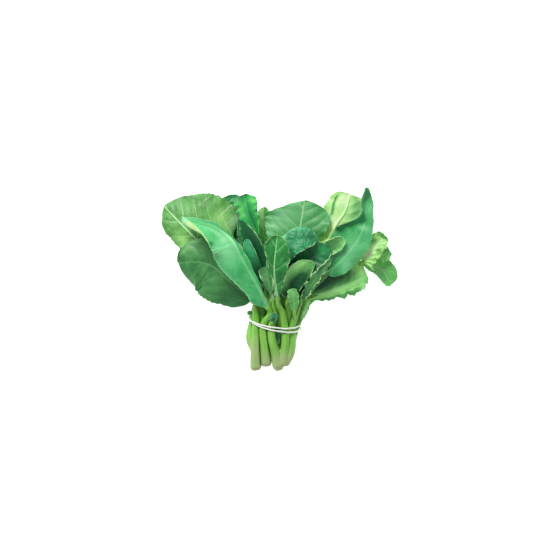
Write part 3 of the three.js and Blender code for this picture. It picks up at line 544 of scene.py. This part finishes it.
# %% Outline, lobes and teeth
ROW_CROWDING = 0.55
LEAST_WING = 0.7  # mm
LOBE_SHAPE = 0.7  # below 1, the notches are sharp and the lobes round
TOOTH_DEPTH = 0.03  # of the blade's width
TOOTH_GAP = 6.0  # mm
TOOTH_SWAY = (0.6, 9.0)  # how unevenly the teeth follow each other, in gaps, and mm per radian of it


def side_value(leaf, name, x, part=None):
    """A value of the left side where x is negative, and of the right side elsewhere."""
    pair = [leaf[side].get(name, leaf.get(name, 0)) for side in ("left", "right")]
    if part is not None:
        pair = [values[part] for values in pair]
    return np.where(x < 0, *pair).astype(float)


def outline(leaf, x, u):
    peak = side_value(leaf, "peak", x)
    blunt = side_value(leaf, "blunt", x)
    width = (u / peak) ** (blunt * peak) * ((1 - u) / (1 - peak)) ** (blunt * (1 - peak))
    for side, dent_u, depth, reach in leaf.get("dents", ()):
        width = width * (1 - depth * np.exp(-(((u - dent_u) / reach) ** 2)) * (np.sign(x) == side))
    return width


def margin_cut(leaf, x, share, s, phases):
    """What the lobes and the teeth leave of the width, at the share of the rows and s mm along the rib."""
    lobes = 1 - leaf["tooth"] * (1 - np.abs(np.cos(math.pi * leaf["rows"] * share / 2)) ** LOBE_SHAPE)
    sway = TOOTH_SWAY[0] * np.sin(s / TOOTH_SWAY[1] + phases[1])
    turns = s / TOOTH_GAP + phases[0] + np.where(x < 0, 0.0, 0.5) + sway
    teeth = 1 - TOOTH_DEPTH * np.abs(np.sin(math.pi * turns)) ** 3
    return lobes * teeth


near_base = outline(LEAVES["left_wide"], np.array([-1, 1]), np.full(2, 0.2))
print("a fifth of the way along, the first leaf's halves reach", near_base.round(2), "of their widths")

# %% [markdown]
# Side veins leave the midrib at a slant and bend towards the tip. Counting them gives a number that
# grows along the leaf and is whole on each vein. The shader draws a pale line wherever that number is
# whole, and the sheet itself is pressed in there and puffed up between, so the veins catch the light as
# well.

# %% Side veins
VEIN_LEAN = 0.7  # mm along the rib for each mm away, where the leaf has no lean of its own
VEIN_BEND = 0.010  # more lean further out
VEIN_HALF = (0.9, 0.3)  # half width at the rib and at the margin, mm
VEIN_GAP = (7.0, 19.0)  # least and greatest distance between side veins, mm
VEIN_PAIRS = 7.0
VEIN_WAVER = (0.16, 12.0)  # how unevenly the veins follow each other, in gaps, and mm per radian of it
VEIN_RIPPLE = (0.10, 7.0, 23.0)  # how crooked each is, in gaps, and mm across and along per radian of it


def veins(leaf, x, s, d, reach, phases):
    """The count of side veins at s mm along and d mm away from the rib, and their half width in counts."""
    gap = min(max(length_of(leaf["rib"]) / VEIN_PAIRS, VEIN_GAP[0]), VEIN_GAP[1])
    waver = VEIN_WAVER[0] * np.sin(s / VEIN_WAVER[1] + phases[2])
    waver += VEIN_RIPPLE[0] * np.sin(d / VEIN_RIPPLE[1] + s / VEIN_RIPPLE[2] + phases[3])
    lean = leaf.get("lean", VEIN_LEAN)
    count = (s - lean * d - VEIN_BEND * d**2) / gap + waver + np.where(x < 0, 0.0, 0.5)
    return count, mix(*VEIN_HALF, np.clip(d / reach, 0, 1)) / gap


rib_length = length_of(LEAVES["left_wide"]["rib"])
counts = veins(LEAVES["left_wide"], np.ones(2), np.array([0, rib_length]), np.zeros(2), 1, np.zeros(6))[0]
print("side veins in each half of the first leaf:", round(counts[1] - counts[0]))


# %% [markdown]
# Now the sheet. Out from the midrib, each side leaves at its fold angle and curls on towards the
# margin, and the last stretch may curl further, as a lip. The way out and up is the sum of many short
# steps at the angle that the sheet has there. The margin waves up and down, the more the further out, a
# finer frill rides on the waves, and slow billows run all over the leaf.

# %% The sheet of a leaf
RIB_ZONE = 0.1  # share of the grid's half width that lies over the midrib
WAVE_LAG = 0.38
WAVE_RISE = 4
ARC_STEPS = 24
LIP_START = 0.8  # share of the way out where the lip begins
GROOVE = 0.2  # mm that a side vein is pressed in
FRILL = 0.28  # of the waves' height
FRILL_TURNS = 3.4  # for each wave
BILLOW = 0.5  # mm
BILLOW_SIZE = (11, 9, 8)  # mm per radian along, in its bends, and across
SAVOY_SIZE = (1.1, 1.7, 1.2, 1.9)  # the same of the small bumps, for along and across in turn
NARROW = 12  # mm, a narrower side has less relief
GROOVE_REACH = 1.6  # of the vein's half width
RELIEF_REACH = 1.05  # above 1, the relief ends a little inside the margin
RELIEF_SHAPE = 0.6  # below 1, it starts steeply at the midrib
NEARLY = 1e-6  # how far the rows keep from the two ends, where the outline has no width


def swing(leaf, x, u, q):
    """How far out and up the sheet has come at q, as shares of its width, and its angle there."""
    fold = np.radians(side_value(leaf, "fold", x))
    curl = np.radians(mix(side_value(leaf, "curl", x, 0), side_value(leaf, "curl", x, 1), u**2))
    lip = math.radians(leaf.get("lip", 0))

    def angle(way):
        return fold + curl * way + lip * np.clip((way - LIP_START) / (1 - LIP_START), 0, 1) ** 2

    steps = np.array([angle(q * (i + 0.5) / ARC_STEPS) for i in range(ARC_STEPS)])
    return q * np.cos(steps).mean(axis=0), q * np.sin(steps).mean(axis=0), angle(q)


def patches(leaf, x, u):
    """The leaf's soft patches of painted light and painted shade, as one number at each point."""
    total = np.zeros(len(u))
    for along, across, reach_u, reach_x, amount in leaf["spots"]:
        total += amount * np.exp(-(((u - along) / reach_u) ** 2) - ((x - across) / reach_x) ** 2)
    return total


def sheet(leaf, x, share, phases):
    """Places of the sheet's points in mm, with what the shader and the thickness need to know there."""
    u = np.clip(mix(share, (1 - np.cos(math.pi * share)) / 2, ROW_CROWDING), NEARLY, 1 - NEARLY)
    point, along, up, across, rib = rib_frames(leaf, u)
    s = u * length_of(leaf["rib"])
    q = np.clip((np.abs(x) - RIB_ZONE) / (1 - RIB_ZONE), 0, 1)
    sign = np.sign(x)
    full = side_value(leaf, "w", x) * outline(leaf, x, u) * margin_cut(leaf, x, share, s, phases)
    width = np.maximum(full - rib, LEAST_WING)
    out, lift, angle = swing(leaf, x, u, q)
    beside = np.minimum(np.abs(x) / RIB_ZONE, 1) * rib
    tilt = np.where(q > 0, angle, 0)[:, None]
    normal = up * np.cos(tilt) - sign[:, None] * across * np.sin(tilt)

    height, waves, phase = leaf["wave"]
    lag = np.where(x > 0, WAVE_LAG, 0)
    wave = np.sin(2 * math.pi * (waves * u + phase + lag)) * q**2 * np.minimum(1, WAVE_RISE * u)
    crimps = np.sin(2 * math.pi * (FRILL_TURNS * waves * u + phases[4] + lag))
    frill = leaf.get("frill", FRILL) * crimps * q**4
    d = beside + width * q
    count, half = veins(leaf, x, s, d, rib + width, phases)
    off_vein = np.abs((count + 0.5) % 1 - 0.5)
    pressed = np.exp(-((off_vein / (GROOVE_REACH * half)) ** 2))
    inner = np.sin(math.pi * np.clip(q * RELIEF_REACH, 0, 1)) ** RELIEF_SHAPE
    puff = leaf["quilt"] * (1 - np.cos(2 * math.pi * count)) / 2 - GROOVE * pressed
    broad = np.minimum(1, width / NARROW)
    rows, bends, lines, weave = SAVOY_SIZE
    bumps = leaf.get("savoy", 0) * np.sin(s / rows + np.sin(d / bends))
    bumps = bumps * np.sin(d / lines + np.sin(s / weave))
    rows, bends, lines = BILLOW_SIZE
    billow = BILLOW * np.sin(s / rows + phases[5] + np.sin(d / bends)) * np.sin(d / lines + phases[0])
    billow = billow * np.minimum(1, q * 3)
    rise = height * (wave + frill) + puff * inner * broad + bumps * np.sqrt(q) + billow * broad

    place = point + across * (sign * (beside + width * out))[:, None] + up * (width * lift)[:, None]
    place += normal * rise[:, None]
    spots = patches(leaf, x, u)
    facts = dict(vein_count=count, vein_half=half, rib_share=d / rib,
                 margin_mm=width * (1 - q), painted_light=np.clip(spots, 0, 1), painted_shade=np.clip(-spots, 0, 1),
                 pale_and_painted_light=np.clip(spots - 1, 0, 1))
    return place, np.stack([s, sign * d], 1), facts, pressed * inner, rib, d


# %% [markdown]
# The grid becomes a leaf in four steps: its points go to their places, a vertex group says how thick
# the leaf is at each, Solidify gives it a lower face and a margin, and both get materials of their own.
# The midrib and the veins stand out below, as they do on the real leaf, because the sheet is thicker
# there.

# %% Build a blade
CELL = 1.0  # mm, size of the grid's cells
LEAST_CELLS = 12
PATTERN_FIELD = 500  # mm, across which the leaves' mottling is spread out
RIB_REACH = 1.15  # of the rib's half width, to where the blade is thicker below
LEAF_THICKNESS = 0.6  # mm
RIB_DEPTH = 1.5  # of the rib's half width
VEIN_RIDGE = 0.5  # mm
CREASE = math.radians(50)  # sharper edges than this aren't smoothed over


def use_only(piece):
    """Makes a piece the only one that the next operators work on."""
    bpy.ops.object.select_all(action="DESELECT")
    piece.select_set(True)
    bpy.context.view_layer.objects.active = piece


def store(mesh, name, values):
    """Keeps one number for each point of a mesh, for its shader."""
    mesh.attributes.new(name, "FLOAT", "POINT").data.foreach_set("value", values.astype(np.float32))


def modify(piece, kind, **settings):
    """Adds a modifier, sets it up and applies it."""
    modifier = piece.modifiers.new("shape", kind)
    for name, value in settings.items():
        setattr(modifier, name, value)
    bpy.ops.object.modifier_apply(modifier=modifier.name)


def finish_piece(piece, name, node, slot, *materials):
    """Names a finished piece, gives it its materials, hangs it on the root body and hides the CAD node that
    it stands for.
    """
    piece.name = piece.data.name = name
    for material in materials:
        piece.data.materials.append(material)
    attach(piece, "root")
    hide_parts(node)


def build_blade(leaf, rng):
    """The finished blade of a leaf, still without materials."""
    phases = rng.uniform(0, 2 * math.pi, 6)
    pattern_start = rng.uniform(0, PATTERN_FIELD, 2)
    sides = (leaf["left"]["w"] + leaf["right"]["w"], length_of(leaf["rib"]))
    cells = [max(LEAST_CELLS, round(length / CELL)) for length in sides]
    bpy.ops.mesh.primitive_grid_add(x_subdivisions=cells[0], y_subdivisions=cells[1], size=2,
                                    location=(0, 0, 0))
    blade = bpy.context.object
    mesh = blade.data
    flat = np.array([v.co[:2] for v in mesh.vertices])
    x, share = flat[:, 0], (flat[:, 1] + 1) / 2
    place, flat_mm, facts, ridge, rib, d = sheet(leaf, x, share, phases)
    mesh.vertices.foreach_set("co", (place * MM).ravel().astype(np.float32))
    for fact, values in facts.items():
        store(mesh, fact, values)
    corners = np.array([loop.vertex_index for loop in mesh.loops])
    mesh.uv_layers.active.name = "flat"
    mesh.uv_layers["flat"].data.foreach_set("uv", ((flat_mm + pattern_start)[corners] / 10).ravel())

    under_rib = RIB_DEPTH * rib * np.sqrt(np.clip(1 - (d / (RIB_REACH * rib)) ** 2, 0, 1))
    thick = LEAF_THICKNESS + under_rib + VEIN_RIDGE * ridge
    group = blade.vertex_groups.new(name="thickness")
    for i, weight in enumerate(thick / thick.max()):
        group.add([i], float(weight), "REPLACE")
    use_only(blade)
    modify(blade, "SOLIDIFY", thickness=float(thick.max()) * MM, offset=-1, vertex_group="thickness",
           material_offset=1, material_offset_rim=0)
    blade.vertex_groups.clear()
    bpy.ops.object.shade_smooth_by_angle(angle=CREASE)
    return blade


broadest = max(leaf["left"]["w"] + leaf["right"]["w"] for leaf in LEAVES.values())
print("the broadest leaf has", round(broadest / CELL), "cells across")

# %% [markdown]
# ## The skins of the leaves
#
# Fresh leaf: a waxy cuticle over green flesh. The wax makes it satin, with an IOR near 1.45 and a
# roughness of a little under a half. Young leaves are yellow-green, the blue-green ones carry a bloom
# of wax, and those deep in the bunch get darker greens, which are painted shade. Light goes into the
# flesh a little way, so a touch of subsurface keeps the shadows green.
#
# The pattern is drawn on the flattened leaf, whose UV map is in centimetres: broad patches, a faint
# mottling, the side veins, the midrib and the paler rim, which is partly the leaf's own edge and partly
# a painted rim highlight. A skin has a dark, a middle and a light green, the colour of its veins and of
# its painted shade, and how strong its side veins and its rim are.

# %% Colours of the leaves
SKINS = {
    "young": ("#458938", "#549d47", "#7dbb62", "#b4e398", "#245d2a", 0.65, 0.0),
    "meadow": ("#33763b", "#438947", "#6dae68", "#7cba75", "#174d2a", 0.2, 0.35),
    "jade": ("#38a758", "#4db66b", "#89da99", "#aae7ae", "#126933", 0.15, 0.35),
    "broad": ("#469c50", "#56a561", "#78bc82", "#a7d9a1", "#277738", 0.4, 0.0),
    "spoon": ("#1f7e31", "#278e3a", "#44ac53", "#98d892", "#105125", 0.45, 0.9),
    "bright": ("#1f9643", "#2ea94b", "#62c765", "#74cb72", "#0c6d39", 0.15, 0.3),
    "grey": ("#246839", "#307d47", "#56a46b", "#66a874", "#134c27", 0.1, 0.4),
    # The shade skin's dark greens are painted shade for leaves deep in the bunch.
    "shade": ("#0a6333", "#12743d", "#3cb261", "#408f59", "#053f1e", 0.12, 0.9),
    "teal": ("#1a884d", "#2a9c61", "#59c18b", "#60be8b", "#084a27", 0.15, 0.5),
    "savoy": ("#1b7d47", "#2a8e56", "#5bb984", "#69bb89", "#094625", 0.1, 0.8),
    "pale": ("#98d575", "#b4e790", "#d5ebb3", "#e1ebc2", "#46923f", 0.25, 0.3),
    "late": ("#60b859", "#73c86a", "#a4eb89", "#aae695", "#11562a", 0.3, 0.3),
    "underside": ("#93cb83", "#aad895", "#c9edb0", "#dcf6c2", "#5d9a5a", 0.6, 0.0),
}
# The pale rim: partly the leaf's own paler edge, partly a painted rim highlight.
PALE_RIM_AND_HIGHLIGHT_COLOUR = "#b9e3a0"
# A pale yellow-green, partly rolled and bleached leaf and partly painted light on leaf in shadow.
PALE_AND_LIT_COLOUR = "#c6ec8e"
PATCH_SCALE = 0.5  # per cm
BREAK_SCALE = 0.9  # per cm, of the gaps in the pale rim
MOTTLE_SCALE = 3.0  # per cm
NET_SCALE = 1.5  # per cm, of the fine veins


def leaf_skin(name, dark, mid, light, vein, shade, lines, rim):
    """The material of a leaf's face."""
    material, tree, shader = new_material(name)
    flat = add(tree, "UVMap", {}, uv_map="flat")[0]
    patch = noise(tree, flat, PATCH_SCALE, 2.0)
    gaps = noise(tree, flat, BREAK_SCALE, 1.0)
    mottle = noise(tree, flat, MOTTLE_SCALE, 3.0)
    cells = add(tree, "TexVoronoi", {"Vector": flat, "Scale": NET_SCALE}, feature="DISTANCE_TO_EDGE")[0]
    facts = ("painted_light", "painted_shade", "pale_and_painted_light", "vein_count", "vein_half", "rib_share", "margin_mm")
    painted_light, painted_shade, pale_and_painted_light, count, half, rib_share, margin_mm = (stored(tree, fact) for fact in facts)

    off_whole = add(tree, "Math", {0: count, 1: 1.0}, operation="PINGPONG")[0]
    away = add(tree, "Math", {0: off_whole, 1: half}, operation="DIVIDE")[0]
    line = ramp(tree, away, 0.3, 1.8, lines, 0.0)
    net = ramp(tree, cells, 0.0, 0.12, 0.2 * lines, 0.0)
    rib_line = ramp(tree, rib_share, 0.5, 1.1, min(1, 2 * lines), 0.0)
    pale_rim_and_highlight = ramp(tree, margin_mm, 0.3, 1.3, rim, 0.0)
    pale_rim_and_highlight = add(tree, "Math", {0: pale_rim_and_highlight, 1: ramp(tree, gaps, 0.42, 0.58)}, operation="MULTIPLY")[0]

    patchy = ramp(tree, patch, 0.38, 0.62)
    mottled = ramp(tree, mottle, 0.5, 0.75, 0.0, 0.3)
    # Over the leaf's own greens and veins go the painted light and painted shade of its spots, the pale
    # patches that are partly painted light, and the pale rim that is partly a painted highlight.
    colour = paint(tree, dark, (patchy, mid), (mottled, light), (painted_light, light), (net, vein), (line, vein),
                   (rib_line, vein), (painted_shade, shade), (pale_and_painted_light, PALE_AND_LIT_COLOUR), (pale_rim_and_highlight, PALE_RIM_AND_HIGHLIGHT_COLOUR))
    bump = add(tree, "Bump", {"Height": mottle, "Strength": 0.25, "Distance": 0.5 * MM})[0]
    fill(tree, shader, {
        "Base Color": colour, "Normal": bump, "Roughness": ramp(tree, patch, 0.3, 0.7, 0.4, 0.5),
        "IOR": 1.45, "Subsurface Weight": 0.08, "Subsurface Radius": (0.4, 1.0, 0.2),
        "Subsurface Scale": 1.0 * MM})
    return material


def skin_named(skin, rim):
    """The skin's material, which is made when the first leaf asks for it."""
    name = "waxy_leaf_" + skin + ("" if rim is None else f"_rim_{round(100 * rim)}")
    *colours, own_rim = SKINS[skin]
    return bpy.data.materials.get(name) or leaf_skin(name, *colours, own_rim if rim is None else rim)


print("kinds of leaf skin:", len(SKINS))

# %% [markdown]
# Every leaf gets its skin above and a paler one below. The rim of the blade wears the upper skin.

# %% Make every blade
SEED = 7
rng = np.random.default_rng(SEED)
faces = 0
for name, leaf in LEAVES.items():
    blade = build_blade(leaf, rng)
    skin = skin_named(leaf["skin"], leaf.get("rim"))
    under = skin_named(leaf.get("under", "underside"), None)
    finish_piece(blade, "blade_" + name, "leaf_" + name, "leaf_" + leaf["finish"], skin, under)
    faces += len(blade.data.polygons)
print("blades:", len(LEAVES), "faces:", faces)

# %% [markdown]
# ## The stalks
#
# A stalk is round and juicy, with shallow flutes along it. It thins towards its leaf and goes on into
# the midrib. Several leaf stalks may grow from one thick stem. Each limb is a curve with a fluted
# section swept along it. The limbs of one stem are then melted together by a voxel remesh, which leaves
# a soft web of flesh in each fork, as growth does. A Boolean union would leave a hard seam there.

# %% The path of a limb
# The elastic in mm: where its plane lies and how it slants, its radius, its gap to the stalks, and how far
# its turns lie apart along the bunch and, where they cross, outwards.
BAND = dict(y=5.8, middle_z=19.5, fall_z=0.38, fall_x=0.18, strand=0.95, clearance=0.75, spread_y=2.9,
            spread_out=2.1, crossing=3)
JOINT_GAP = 0.35  # mm between the leaf stalk's end and the blade
LEAD_IN = 3  # of the rib's half width, how far before it the leaf stalk is in line with the midrib
PETIOLE_DROP = 0.45  # of the rib's depth, how far it lies below the blade's upper face
CUT_END_Y = -30  # a limb that starts before this has a cut end, mm
CUT_ROUNDING = (0.78, 0.94)  # of the radius, at the cut and a step behind it
RUN_ON = 14.0  # mm that the leaf stalk goes on below the midrib
MELT_LOSS = 0.5  # mm that the smoothing takes off a limb's radius
STATION_GAP = 2.5  # mm


def on_band_plane(x, z, r=0):
    """A point of the slanting plane in which the elastic lies."""
    return (x, BAND["y"] - BAND["fall_z"] * (z - BAND["middle_z"]) - BAND["fall_x"] * x, z, r)


def limb_points(path, leaf):
    """The points of a limb and its radius at each: its own, and those that bring it onto its leaf."""
    points = [on_band_plane(*NECKS[p]) if isinstance(p, str) else p for p in path]
    place, along, up, _, rib = (values[0] for values in rib_frames(leaf, np.zeros(1)))
    middle = place - up * PETIOLE_DROP * RIB_DEPTH * rib
    for back in (LEAD_IN * rib, JOINT_GAP):
        points.append((*(middle - along * back), rib))
    return points


def limb_stations(path, leaf):
    """Close points along a limb, and the radius at each. The last ones dive below the leaf's midrib."""
    points = limb_points(path, leaf)
    knots = np.array([p[:3] for p in points], float)
    radii = np.array([p[3] for p in points], float)
    gaps = np.linalg.norm(np.diff(knots, axis=0), axis=1)
    spans = np.maximum(1, np.round(gaps / STATION_GAP)).astype(int)
    t = np.concatenate([np.arange(n) / n + i for i, n in enumerate(spans)] + [[len(spans)]])
    places = curve_at(points, t / len(spans))[0]
    sizes = np.interp(t, np.arange(len(radii)), radii) + MELT_LOSS
    if places[0][1] < CUT_END_Y:
        sizes[:2] *= CUT_ROUNDING
    on = np.linspace(0.15, 1, 6)
    u = on * RUN_ON / length_of(leaf["rib"])
    rib_place, _, up, _, rib = rib_frames(leaf, u)
    drop = (PETIOLE_DROP * RIB_DEPTH * (1 - on) + 1.0 * on) * rib
    run_on = rib_place - up * drop[:, None]
    return np.vstack([places, run_on]), np.concatenate([sizes, rib * (1 - 0.25 * on)])


print("stems:", len(SHOOTS), "limbs:", sum(len(limbs) for limbs in SHOOTS.values()))

# %% [markdown]
# A curve is the right start for a limb, because it takes a radius at each point and any section to
# sweep. The section here is a ring with seven shallow flutes. The caps are the cut face at one end, and
# at the other the tip that is hidden below the midrib.

# %% Sweep the limbs and melt them together
FLUTES = 7
FLUTE_DEPTH = 0.05  # of the radius
SECTION_POINTS = 42
VOXEL = 0.75 * MM
SMOOTHING = 4

turn = np.linspace(0, 2 * math.pi, SECTION_POINTS, endpoint=False)
ring = 1 - FLUTE_DEPTH * (1 - np.cos(FLUTES * turn)) / 2
bpy.ops.curve.primitive_bezier_circle_add(radius=1, location=(0, 0, 0))
section = bpy.context.object
section.data.splines.clear()
loop = section.data.splines.new("POLY")
loop.points.add(SECTION_POINTS - 1)
corners = np.stack([ring * np.cos(turn), ring * np.sin(turn), 0 * turn, 0 * turn + 1], 1)
loop.points.foreach_set("co", corners.ravel())
loop.use_cyclic_u = True


def sweep_limb(places, sizes):
    """A closed tube with the fluted section along the places."""
    bpy.ops.curve.primitive_nurbs_path_add(location=(0, 0, 0))
    limb = bpy.context.object
    limb.data.splines.clear()
    line = limb.data.splines.new("POLY")
    line.points.add(len(places) - 1)
    line.points.foreach_set("co", np.column_stack([places * MM, np.ones(len(places))]).ravel())
    line.points.foreach_set("radius", sizes * MM)
    limb.data.bevel_mode = "OBJECT"
    limb.data.bevel_object = section
    limb.data.use_fill_caps = True
    use_only(limb)
    bpy.ops.object.convert(target="MESH")
    return bpy.context.object


def melt(limbs):
    """Joins limbs into one smooth closed body."""
    bpy.ops.object.select_all(action="DESELECT")
    for limb in limbs:
        limb.select_set(True)
    bpy.context.view_layer.objects.active = limbs[0]
    if len(limbs) > 1:
        bpy.ops.object.join()
    stem = bpy.context.object
    modify(stem, "REMESH", mode="VOXEL", voxel_size=VOXEL, use_smooth_shade=True)
    modify(stem, "SMOOTH", iterations=SMOOTHING)
    return stem


# %% [markdown]
# The stalk's skin is smooth, waxy and almost even: yellow-green, duller towards the cut, with faint
# streaks along it. The leaf stalks turn leaf green, but for the outermost. Where stalks press on each
# other they are painted dark, as painted shade in the crevices between them. The cut face shows pale
# wet pith inside a darker ring of skin.

# %% The stalk's material
# pressed is the dark green of the painted shade in the crevices where stalks touch.
STALK = dict(green="#6db33e", light="#8ac158", dull="#a3b27c", pith="#dfe8bf", leafy="#417a3b",
             pressed="#1f4a1a")
STREAKS = (9.0, 0.8, 9.0)  # the pattern is drawn out along the stalks, per cm
LEAFY_FROM = (34 * MM, 50 * MM)  # y where the leaf stalks begin and end to turn leaf green
PALE_FROM = (70 * MM, 90 * MM)  # x past which the outermost ones stay pale

stalk_skin, tree, shader = new_material("juicy_stalk")
spot = add(tree, "TexCoord", {})["Object"]
fine = add(tree, "Mapping", {"Vector": spot, "Scale": tuple(100 * c for c in STREAKS)})[0]
streak = noise(tree, fine, 0.35, 3.0)
cloud = noise(tree, spot, 60.0, 2.0)
axes = add(tree, "SeparateXYZ", {"Vector": spot})
leafy = {0: ramp(tree, axes["Y"], *LEAFY_FROM), 1: ramp(tree, axes["X"], *PALE_FROM, 1.0, 0.0)}
leafy = add(tree, "Math", leafy, operation="MULTIPLY")[0]
dull = ramp(tree, stored(tree, "from_cut"), 2.0, 26.0, 0.9, 0.0)
# Where stalks press on each other they get painted shade, darkest in the crevice.
colour = paint(tree, STALK["green"], (ramp(tree, streak, 0.35, 0.7), STALK["light"]),
               (ramp(tree, cloud, 0.4, 0.7, 0.0, 0.35), STALK["light"]), (dull, STALK["dull"]),
               (leafy, STALK["leafy"]), (stored(tree, "pressed"), STALK["pressed"]),
               (stored(tree, "cut_face"), STALK["pith"]))
bump = add(tree, "Bump", {"Height": streak, "Strength": 0.2, "Distance": 0.3 * MM})[0]
fill(tree, shader, {"Base Color": colour, "Normal": bump, "Roughness": 0.38, "IOR": 1.45,
                    "Subsurface Weight": 0.25, "Subsurface Radius": (0.6, 1.0, 0.3),
                    "Subsurface Scale": 3 * MM})
print("stalk colours:", len(STALK))

# %% Make every stem
FACE_DEPTH = 0.9  # mm
# The painted shade in the crevices between stalks: where it is darkest, where it ends, and how dark.
CREVICE_SHADE_GAP = (0.6, 2.6)  # mm to the next stalk: darkest within the first, not dark past the second
CREVICE_SHADE_MOST = 0.75


def cut_facts(stem, starts):
    """How far each point of a stem is from the nearest cut, and whether it is on a cut face."""
    spots = np.array([v.co for v in stem.data.vertices]) / MM
    normals = np.array([v.normal for v in stem.data.vertices])
    nearest = np.full(len(spots), 1e3)
    on_face = np.zeros(len(spots))
    for place, heading, radius in starts:
        ahead = (spots - place) @ heading
        near = np.linalg.norm(spots - place, axis=1)
        nearest = np.minimum(nearest, np.maximum(near - 0.6 * radius, 0))
        facing = np.clip(-(normals @ heading) * 2 - 0.6, 0, 1)
        on_face = np.maximum(on_face, facing * (ahead < FACE_DEPTH) * (near < 1.2 * radius))
    store(stem.data, "from_cut", nearest)
    store(stem.data, "cut_face", on_face)


def painted_crevice_shade(stem, others):
    """How closely each point of a stem is pressed against the limbs of the other stems, from 0 to 1, kept
    as the share of painted crevice shade there.
    """
    places = np.vstack([places for places, _ in others])
    sizes = np.concatenate([sizes for _, sizes in others])
    tree = kdtree.KDTree(len(places))
    for i, place in enumerate(places * MM):
        tree.insert(place, i)
    tree.balance()
    found = [tree.find(v.co)[1:] for v in stem.data.vertices]
    gap = np.array([distance / MM - sizes[i] for i, distance in found])
    share = np.clip((CREVICE_SHADE_GAP[1] - gap) / (CREVICE_SHADE_GAP[1] - CREVICE_SHADE_GAP[0]), 0, 1)
    store(stem.data, "pressed", CREVICE_SHADE_MOST * share**2)


faces = 0
all_routes = {name: [limb_stations(path, LEAVES[leaf]) for path, leaf in limbs]
              for name, limbs in SHOOTS.items()}
for name, routes in all_routes.items():
    stem = melt([sweep_limb(*route) for route in routes])
    spots = np.array([v.co for v in stem.data.vertices])
    spots[:, 2] = np.maximum(spots[:, 2], 0)
    stem.data.vertices.foreach_set("co", spots.ravel())
    starts = [(places[0], (places[1] - places[0]) / np.linalg.norm(places[1] - places[0]), sizes[0])
              for places, sizes in routes if places[0][1] < CUT_END_Y]
    cut_facts(stem, starts)
    painted_crevice_shade(stem, [route for other, those in all_routes.items() if other != name for route in those])
    finish_piece(stem, "stem_" + name, "stalk_" + name, "stalk", stalk_skin)
    faces += len(stem.data.polygons)
bpy.data.objects.remove(section)
print("stems:", len(SHOOTS), "faces:", faces)

# %% [markdown]
# ## The elastic
#
# A thin white elastic goes twice round the stalks. It is pulled tight, so it follows the outermost
# stalks in a hull and runs straight between them. Its two turns lie side by side in front and cross at
# the sides. A torus has the right layout of points for a closed cord, so one is added and its points
# are sent along it.

# %% The path of the elastic
BAND_STEPS = 72
CORD_STEPS = 360
CORD_SIDES = 14


def band_path():
    """Points round both turns of the elastic."""
    points = []
    for i in range(BAND_STEPS):
        angle = 4 * math.pi * i / BAND_STEPS
        x, z = math.cos(angle), math.sin(angle)
        outer = max(NECKS.values(), key=lambda neck: neck[0] * x + neck[1] * z + neck[2])
        lag = angle / 2
        over = BAND["spread_out"] * max(0, math.sin(lag)) ** BAND["crossing"]
        away = outer[2] + BAND["clearance"] + BAND["strand"] + over
        spot = on_band_plane(outer[0] + away * x, outer[1] + away * z)
        points.append((spot[0], spot[1] + BAND["spread_y"] * math.cos(lag), spot[2]))
    return points


def closed_curve_at(points, t):
    """Places and directions on the closed curve through the points."""
    wrapped = [*points[-2:], *points, *points[:3]]
    spans = len(wrapped) - 1
    return curve_at(wrapped, (2 + t * len(points)) / spans)


bpy.ops.mesh.primitive_torus_add(major_segments=CORD_STEPS, minor_segments=CORD_SIDES, major_radius=1,
                                 minor_radius=0.25, location=(0, 0, 0))
elastic = bpy.context.object
ringed = np.array([v.co for v in elastic.data.vertices])
major = np.arctan2(ringed[:, 1], ringed[:, 0]) / (2 * math.pi) % 1
minor = np.arctan2(ringed[:, 2], np.hypot(ringed[:, 0], ringed[:, 1]) - 1)
place, heading = closed_curve_at(band_path(), major)
sideways = np.cross(heading, (0, 1.0, 0))
sideways /= np.linalg.norm(sideways, axis=1, keepdims=True)
other = np.cross(sideways, heading)
around = sideways * np.cos(minor)[:, None] + other * np.sin(minor)[:, None]
elastic.data.vertices.foreach_set("co", ((place + BAND["strand"] * around) * MM).ravel())
elastic.data.update()

rubber, tree, shader = new_material("white_elastic")
spot = add(tree, "TexCoord", {})["Object"]
grain = noise(tree, spot, 900.0, 2.0)
fill(tree, shader, {"Base Color": paint(tree, "#e9e6df", (grain, "#fbfaf6")), "Roughness": 0.55})
use_only(elastic)
bpy.ops.object.mode_set(mode="EDIT")
bpy.ops.mesh.select_all(action="SELECT")
bpy.ops.mesh.normals_make_consistent(inside=False)
bpy.ops.object.mode_set(mode="OBJECT")
bpy.ops.object.shade_smooth()
finish_piece(elastic, "elastic", "tie_band", "band", rubber)
print("elastic:", len(elastic.data.polygons), "faces")

# %% [markdown]
# ## Floor and light
#
# The photo's bunch lies alone on white, in soft light that falls from behind and a little from the
# left. A big lamp there makes the leaves shade each other gently, and the pale surroundings fill the
# shadows.

# %% Floor, lamps and surroundings
bpy.ops.mesh.primitive_plane_add(size=20, location=(0, 0, 0))
floor = bpy.context.object
floor.name = "floor"
floor_paint, tree, shader = new_material("matt_white_floor")
fill(tree, shader, {"Base Color": "#f7f7f5", "Roughness": 0.9, "Emission Color": "#ffffff",
                    "Emission Strength": 0.85})
floor.data.materials.append(floor_paint)

LAMP_PLACE = (-0.6, 1.3, 1.6)  # m
LAMP_SIZE = 0.8  # m
LAMP_WATTS = 42
bpy.ops.object.light_add(type="AREA", location=LAMP_PLACE)
lamp = bpy.context.object
lamp.data.size = LAMP_SIZE
lamp.data.energy = LAMP_WATTS
lamp.rotation_euler = lamp.location.to_track_quat("Z", "Y").to_euler()

world = bpy.data.worlds.new("pale_room")
bpy.context.scene.world = world
world.use_nodes = True
fill(world.node_tree, world.node_tree.nodes["Background"], {"Color": "#f4f8ff", "Strength": 0.42})
bpy.context.scene.view_settings.view_transform = "Standard"
print("lamp:", LAMP_WATTS, "W")
